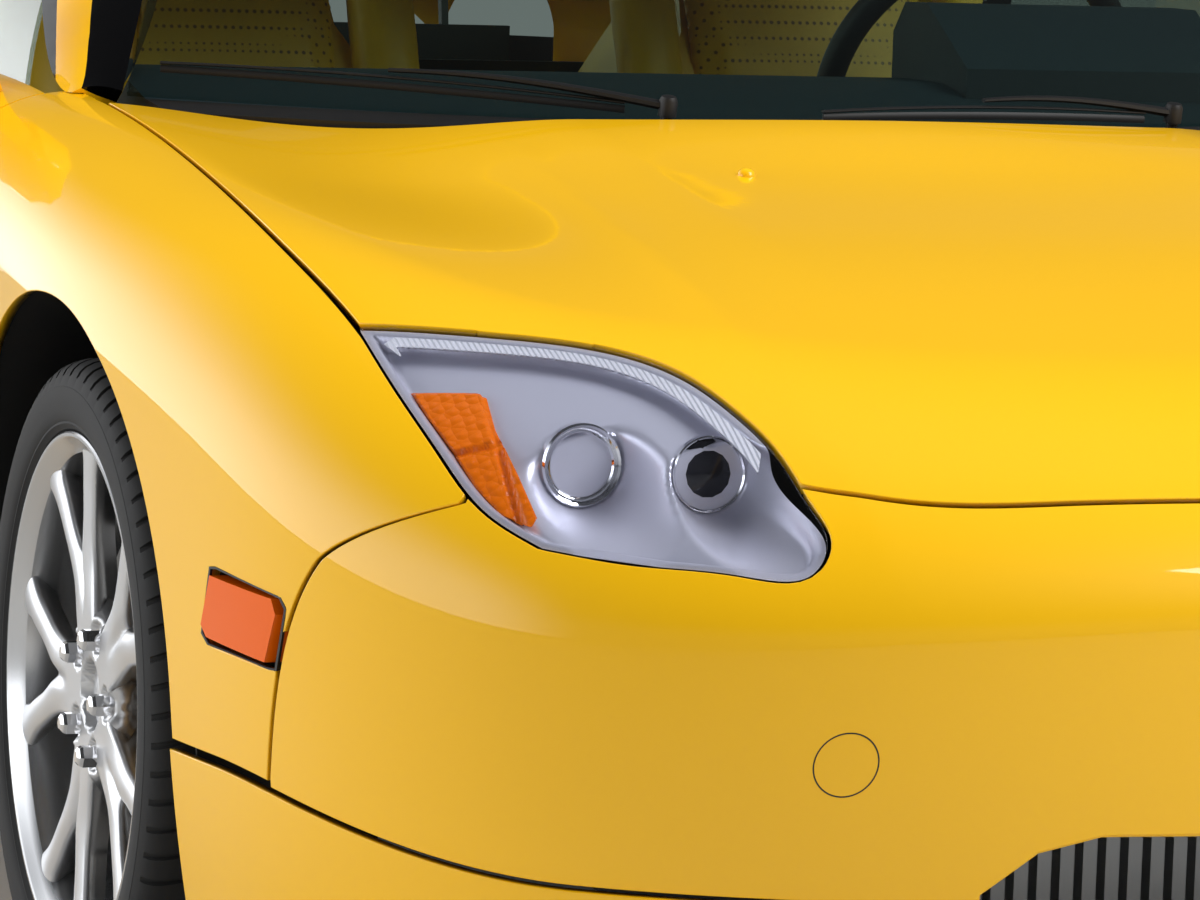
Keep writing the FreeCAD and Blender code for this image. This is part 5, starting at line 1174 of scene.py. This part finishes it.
def padPlace(part, stand):
    ys, zs = (seatBack, seatBackZ) if part == "Back" else (seatBase, seatBaseZ)

    def place(x, along):
        turn = np.stack([0 * along, ys(along + 1) - ys(along - 1), zs(along + 1) - zs(along - 1)], axis=-1)
        outward = unit(np.cross(turn, [-1.0, 0.0, 0.0]))
        middle = np.stack([x + seatX, ys(along), zs(along)], axis=-1)
        return middle + outward * (stand * (1 - 0.25 * (x / 160.0) ** 2 * (abs(stand) < 12)))[..., None]
    return place


def swell(thing, pressure=4.0, cap=10.0, voxel=8.0):
    remesh = thing.modifiers.new("Remesh", "REMESH")
    remesh.mode, remesh.voxel_size, remesh.use_smooth_shade = "VOXEL", voxel * mm, True
    flatten(thing)
    start = np.array([vert.co[:] for vert in thing.data.vertices])
    cloth = thing.modifiers.new("Cloth", "CLOTH").settings
    cloth.use_pressure, cloth.uniform_pressure_force = True, pressure
    cloth.effector_weights.gravity = 0.0
    scene = bpy.context.scene
    for frameNumber in range(1, 21):
        scene.frame_set(frameNumber)
    flatten(thing)
    scene.frame_set(1)
    places = np.array([vert.co[:] for vert in thing.data.vertices])
    shift = places - start
    size = np.linalg.norm(shift, axis=1, keepdims=True)
    shift *= np.minimum(1.0, cap * mm / np.maximum(size, 1e-9))
    thing.data.vertices.foreach_set("co", (start + shift).ravel())
    thing.modifiers.new("Subdivision", "SUBSURF").levels = 1
    flatten(thing)
    for face in thing.data.polygons:
        face.use_smooth = True
    return thing


def flatten(thing):  # the modifiers' result becomes the mesh
    shown = thing.evaluated_get(bpy.context.evaluated_depsgraph_get())
    mesh = bpy.data.meshes.new_from_object(shown)
    thing.modifiers.clear()
    thing.data = mesh


def seatPads():
    for part, low, high, start, end, thick, stand, holes in padRows:
        bm = flatGrid(low + 9, high - 9, start + 9, end - 9, 14.0, 14.0)
        pad = layPanel("seatPad", bm, padPlace(part, stand), thick, lip=9.0, normalStep=(0.5, 0.5))
        swell(pad)
        for flip, side in ((False, "left"), (True, "right")):
            piece = moved(pad, (0, 0, 0), flip, "seat%sPad_%s" % (part, side))
            give(piece, holedLeather if holes else yellowLeather, "root", "seat_leather", "seat_" + side)
        bpy.data.objects.remove(pad)


# Small pieces on the front skin: the markers' dark rims, the towing cap's gap as a black ring of painted shade, and
# the washer nozzles
def layRing(name, t, s, out, inward, lift, material, body, node):  # t, s: the ring's outer corners on the skin
    middle = np.array([np.mean(t), np.mean(s)])
    rings = []
    for share, height in ((1.0, -2.0), (1.0, lift), (inward, lift), (inward, -2.0)):
        u, v = middle[0] + (t - middle[0]) * share, middle[1] + (s - middle[1]) * share
        rings.append(skin(u, v) + normalsOf(skin, u, v) * height)
    bm = bmesh.new()
    rows = [[bm.verts.new(Vector(point) * mm) for point in ring * [out, 1, 1]] for ring in rings]
    bridge(bm, rows + rows[:1])
    bmesh.ops.recalc_face_normals(bm, faces=bm.faces)
    for edge in bm.edges:
        edge.smooth = False
    return give(finishMesh(name, bm), material, body, slotOf[node], node)


def ringOnSkin(t, s, radius, count=48):  # corners of a circle about a place on the skin
    along = (skin(t + 1, s) - skin(t - 1, s)) / 2
    up = (skin(t, s + 0.01) - skin(t, s - 0.01)) / 0.02
    turn = np.linspace(0, 2 * math.pi, count, endpoint=False)
    flat = unit(along)
    over = unit(up - flat * (up @ flat))
    offset = radius * (np.cos(turn)[:, None] * flat + np.sin(turn)[:, None] * over)
    return t + offset @ along / (along @ along), s + offset @ up / (up @ up)


def placeOnSkin(x, z, low, high):  # the place on the front skin with this x and height
    for _ in range(40):
        middle = (low + high) / 2
        share = shareOfHeight(np.array([middle]), np.array([z]))[0]
        low, high = (middle, high) if skin(middle, share)[0] < x else (low, middle)
    return low, share


for side, name in sides:
    t, s = np.array(markerRows).T
    layRing("markerRim", t, s, side, 0.955, 0.25, blackPlastic, "root", "side_markers")
towT, towS = placeOnSkin(-472.0, 380.0, -760.0, -300.0)
# the towing cap's gap is a thin black ring on the uncut bumper skin: painted shade where the gap lies
layRing("towCapGapShade", *ringOnSkin(towT, towS, 25.6), 1, 0.955, 0.12, blackPlastic, "root", "front_bumper")
nozzle = {"place": (236.0, -1298.0), "axis": (0.0, -0.13, 0.99),
          "profile": [(0, 7.0), (4.0, 6.2), (7.0, 4.0), (8.5, 0.5), (8.6, -3.0)]}
nozzleAt = topSkin(*(np.array([place]) for place in nozzle["place"]))[0]
for side, name in sides:
    give(spinProfile("washerNozzle", nozzle["profile"], nozzleAt, nozzle["axis"], 32, 40.0, side), paint, "bonnet",
         "body_paint", "bonnet")


def mouthWall(name, material, start, end):  # a band of the wall that runs inwards from the mouth's edge
    foot = mouth["half"], mouth["bottom"]
    corners = np.array([foot] + mouthArch + [(-foot[0], foot[1])])
    steps = np.linspace(0, 1, 9)[:-1, None]
    loop = np.concatenate([lerp(a, b, steps) for a, b in zip(corners, corners[1:])] + [corners[-1:]])
    rows = []
    for depth, inwards in (start, end):
        row = []
        for x, z in loop:
            t, share = placeOnSkin(abs(x), z, 0.0, 760.0)
            y = skin(t, share)[1]
            toMiddle = unit(np.array([-x, mouth["middle"] - z]) * [0.35, 1.0])
            row.append((x + toMiddle[0] * inwards, y + depth, z + toMiddle[1] * inwards))
        rows.append(row)
    bm = bmesh.new()
    bridge(bm, [[bm.verts.new(Vector(p) * mm) for p in row] for row in rows], closed=False)
    bmesh.ops.recalc_face_normals(bm, faces=bm.faces)
    thing = finishMesh(name, bm)
    solid = thing.modifiers.new("Solidify", "SOLIDIFY")
    solid.thickness, solid.offset = 2.0 * mm, 0.0
    flatten(thing)
    return give(thing, material, "root", slotOf["front_bumper"], "front_bumper")


mouthWall("mouthRoll", paint, (1.5, 0.0), (16.0, 6.0))
mouthWall("mouthDuct", blackPlastic, (16.0, 6.0), (70.0, 12.0))
print("small front pieces made")


# Wipers: a round spindle, an arm that tapers to its hook, a bow and a rubber blade under it
wiperRows = [((-215.0, -1030.0, 812.0), (-665.0, -835.0, 838.0)),
             ((330.0, -1010.0, 812.0), (-60.0, -1046.0, 812.0))]


def sweep(name, points, sizes, corners=8):  # sizes: half width and half height at each point
    bm = bmesh.new()
    points = np.array(points, float)
    ways = unit(np.gradient(points, axis=0))
    rings = []
    for point, way, (wide, high) in zip(points, ways, sizes):
        across = unit(np.cross(way, [0.0, 0.0, 1.0]))
        up = np.cross(across, way)
        rings.append([bm.verts.new(Vector(point + across * wide * math.cos(a) + up * high * math.sin(a)) * mm)
                      for a in (2 * math.pi * (k + 0.5) / corners for k in range(corners))])
    bridge(bm, rings)
    bm.faces.new(rings[0][::-1])
    bm.faces.new(rings[-1])
    bmesh.ops.recalc_face_normals(bm, faces=bm.faces)
    sharpen(bm, 50)
    return finishMesh(name, bm)


def wiperPiece(pivot, tip):
    pivot, tip = np.array(pivot), np.array(tip)
    share = np.linspace(0, 1, 13)
    line = pivot + (tip - pivot) * share[:, None]
    bow = 4 * share * (1 - share)
    up = np.array([0, 0, 1.0])
    blade = line + up * (1.5 + 3.0 * bow)[:, None]
    spine = line + up * (7.0 + 6.0 * bow)[:, None]
    arm = pivot + (lerp(pivot, tip, 0.55) - pivot) * share[:, None] + up * (9 + 13 * np.sin(share * 2.2))[:, None]
    spindle = [(0, 20), (7, 19), (9, 15), (9, 0), (6, -1), (6, -16)]
    return [sweep("wiperBlade", blade[1:], [(1.6, 4.0)] * 12), sweep("wiperBow", spine[1:], [(4.0, 1.6)] * 12),
            sweep("wiperArm", arm, [(lerp(8.0, 4.0, k), lerp(5.0, 2.2, k)) for k in share]),
            spinProfile("wiperSpindle", spindle, pivot, (0.0, -0.2, 0.98), 32)]


for side in ("left", "right"):
    dress("door_" + side, paint, curved=True)
    dress("door_glass_" + side, screenGlass)
    dress("rear_quarter_" + side, paint, curved=True)
    dress("mirror_" + side, paint, 50.0)
    dress("seat_" + side, yellowLeather)
    dress("knuckle_front_" + side, castAlloy)
    caliperPaint("knuckle_front_%sDressed" % side, frontAxleY, wheelRows["front"][2])
for name in ("side_sills", "rear_bumper"):
    dress(name, paint, curved=True)
dress("boot_lid", paint, curved=True)
dress("roof_panel", paint)
blackBorders(dress("cabin_frame", paint))
seatPads()
print("seats padded")
dress("tail_panel", blackPlastic, curved=True)
dress("tail_lamps", redLens, curved=True)
dress("side_markers", amber, curved=True)
dress("windscreen", screenGlass)
dress("engine_hatch", screenGlass)
dress("dashboard", dashSkin)
dress("steering_wheel", darkLeather)
for pivot, tip in wiperRows:
    for piece in wiperPiece(pivot, tip):
        give(piece, blackPlastic, "root", slotOf["wipers"], "wipers")
for name in ("arch_liners", "cowl_panel"):
    dress(name, blackPlastic)
for name in ("cabin_tub", "front_frame", "rear_frame", "rear_luggage_floor", "rear_tow_eye"):
    dress(name, coatedSteel)
for name in ("radiator", "engine", "suspension_front", "suspension_rear", "steering_rack"):
    dress(name, castAlloy)
dress("exhaust", stainless)
print("the rest dressed")

# Camera, lights and floor
studio = {"sideWay": (-0.87, 0.5, 0.0), "sideSpan": (0.45, 0.8), "sideFade": (0.25, 0.72), "side": 3.4,
          "around": 0.30, "aroundFade": (0.10, 0.36), "ceiling": 0.06, "floorFade": (-0.10, -0.06)}
view = {"place": (-2.091, -6.031, 1.087), "azimuth": 19.99, "elevation": 6.41, "roll": 1.94, "focalPx": 5561.0}


def addCamera():
    camera = bpy.data.cameras.new("camera")
    camera.sensor_width = 36.0
    camera.sensor_fit = "HORIZONTAL"
    camera.lens = view["focalPx"] * camera.sensor_width / 1200
    camera.clip_end = 100.0
    thing = bpy.data.objects.new("camera", camera)
    az, el = math.radians(view["azimuth"]), math.radians(view["elevation"])
    ahead = Vector((math.sin(az) * math.cos(el), math.cos(az) * math.cos(el), -math.sin(el)))
    right = Vector((math.cos(az), -math.sin(az), 0.0))
    turned = Matrix.Rotation(math.radians(-view["roll"]), 4, ahead)
    right = turned @ right
    up = right.cross(ahead)
    place = Matrix((right, up, -ahead)).transposed().to_4x4()
    place.translation = Vector(view["place"])
    thing.matrix_world = place
    bpy.context.scene.collection.objects.link(thing)
    bpy.context.scene.camera = thing


def addLight(name, place, target, size, power, mirrored=True):  # mirrored: seen in glossy surfaces too
    light = bpy.data.lights.new(name, "AREA")
    light.shape = "RECTANGLE"
    light.size, light.size_y = size
    light.energy = power
    thing = bpy.data.objects.new(name, light)
    thing.location = place
    thing.visible_glossy = mirrored
    thing.rotation_euler = (Vector(target) - Vector(place)).to_track_quat("-Z", "Y").to_euler()
    bpy.context.scene.collection.objects.link(thing)


def addFloor():
    bm = bmesh.new()
    bmesh.ops.create_grid(bm, x_segments=2, y_segments=2, size=7.0)
    floor = finishMesh("floor", bm)
    material, tree, shader = newMaterial("paleFloor", {"Base Color": linear("#D9D8D4"), "Roughness": 0.8})
    floor.data.materials.append(material)


def addWorld():  # a soft band of light round the horizon, brightest on the car's right, under a dim ceiling
    world = bpy.data.worlds.new("studio")
    bpy.context.scene.world = world
    world.use_nodes = True
    tree = world.node_tree
    tree.nodes.clear()
    way = addNode(tree, "ShaderNodeTexCoord").outputs["Generated"]
    height = addNode(tree, "ShaderNodeSeparateXYZ", {0: way}).outputs["Z"]
    beside = addNode(tree, "ShaderNodeVectorMath", {0: way, 1: studio["sideWay"]},
                     operation="DOT_PRODUCT").outputs["Value"]

    def ramp(value, low, high, start, end):
        return ranged(tree, value, low, high, start, end, interpolation_type="SMOOTHSTEP")
    across = ramp(beside, *studio["sideSpan"], 0.0, 1.0)
    up = ramp(height, *studio["sideFade"], studio["side"], 0.0)
    around = ramp(height, *studio["aroundFade"], studio["around"], 0.0)
    glow = joined(tree, joined(tree, across, up, "MULTIPLY"), around, "ADD")
    aboveFloor = ramp(height, *studio["floorFade"], 0.0, 1.0)
    strength = joined(tree, joined(tree, glow, aboveFloor, "MULTIPLY"), studio["ceiling"], "ADD")
    sky = addNode(tree, "ShaderNodeBackground", {"Color": linear("#F1F3F6"), "Strength": strength})
    addNode(tree, "ShaderNodeOutputWorld", {"Surface": sky.outputs["Background"]})


addCamera()
addLight("keySoftbox", (3.4, -4.6, 4.6), (0.0, -1.2, 0.5), (3.2, 3.2), 390.0)
addLight("overheadSoftbox", (0.2, 0.2, 5.2), (0.0, 0.0, 0.5), (4.0, 4.0), 210.0, False)
addFloor()
addWorld()
bpy.context.scene.view_settings.view_transform = "Standard"
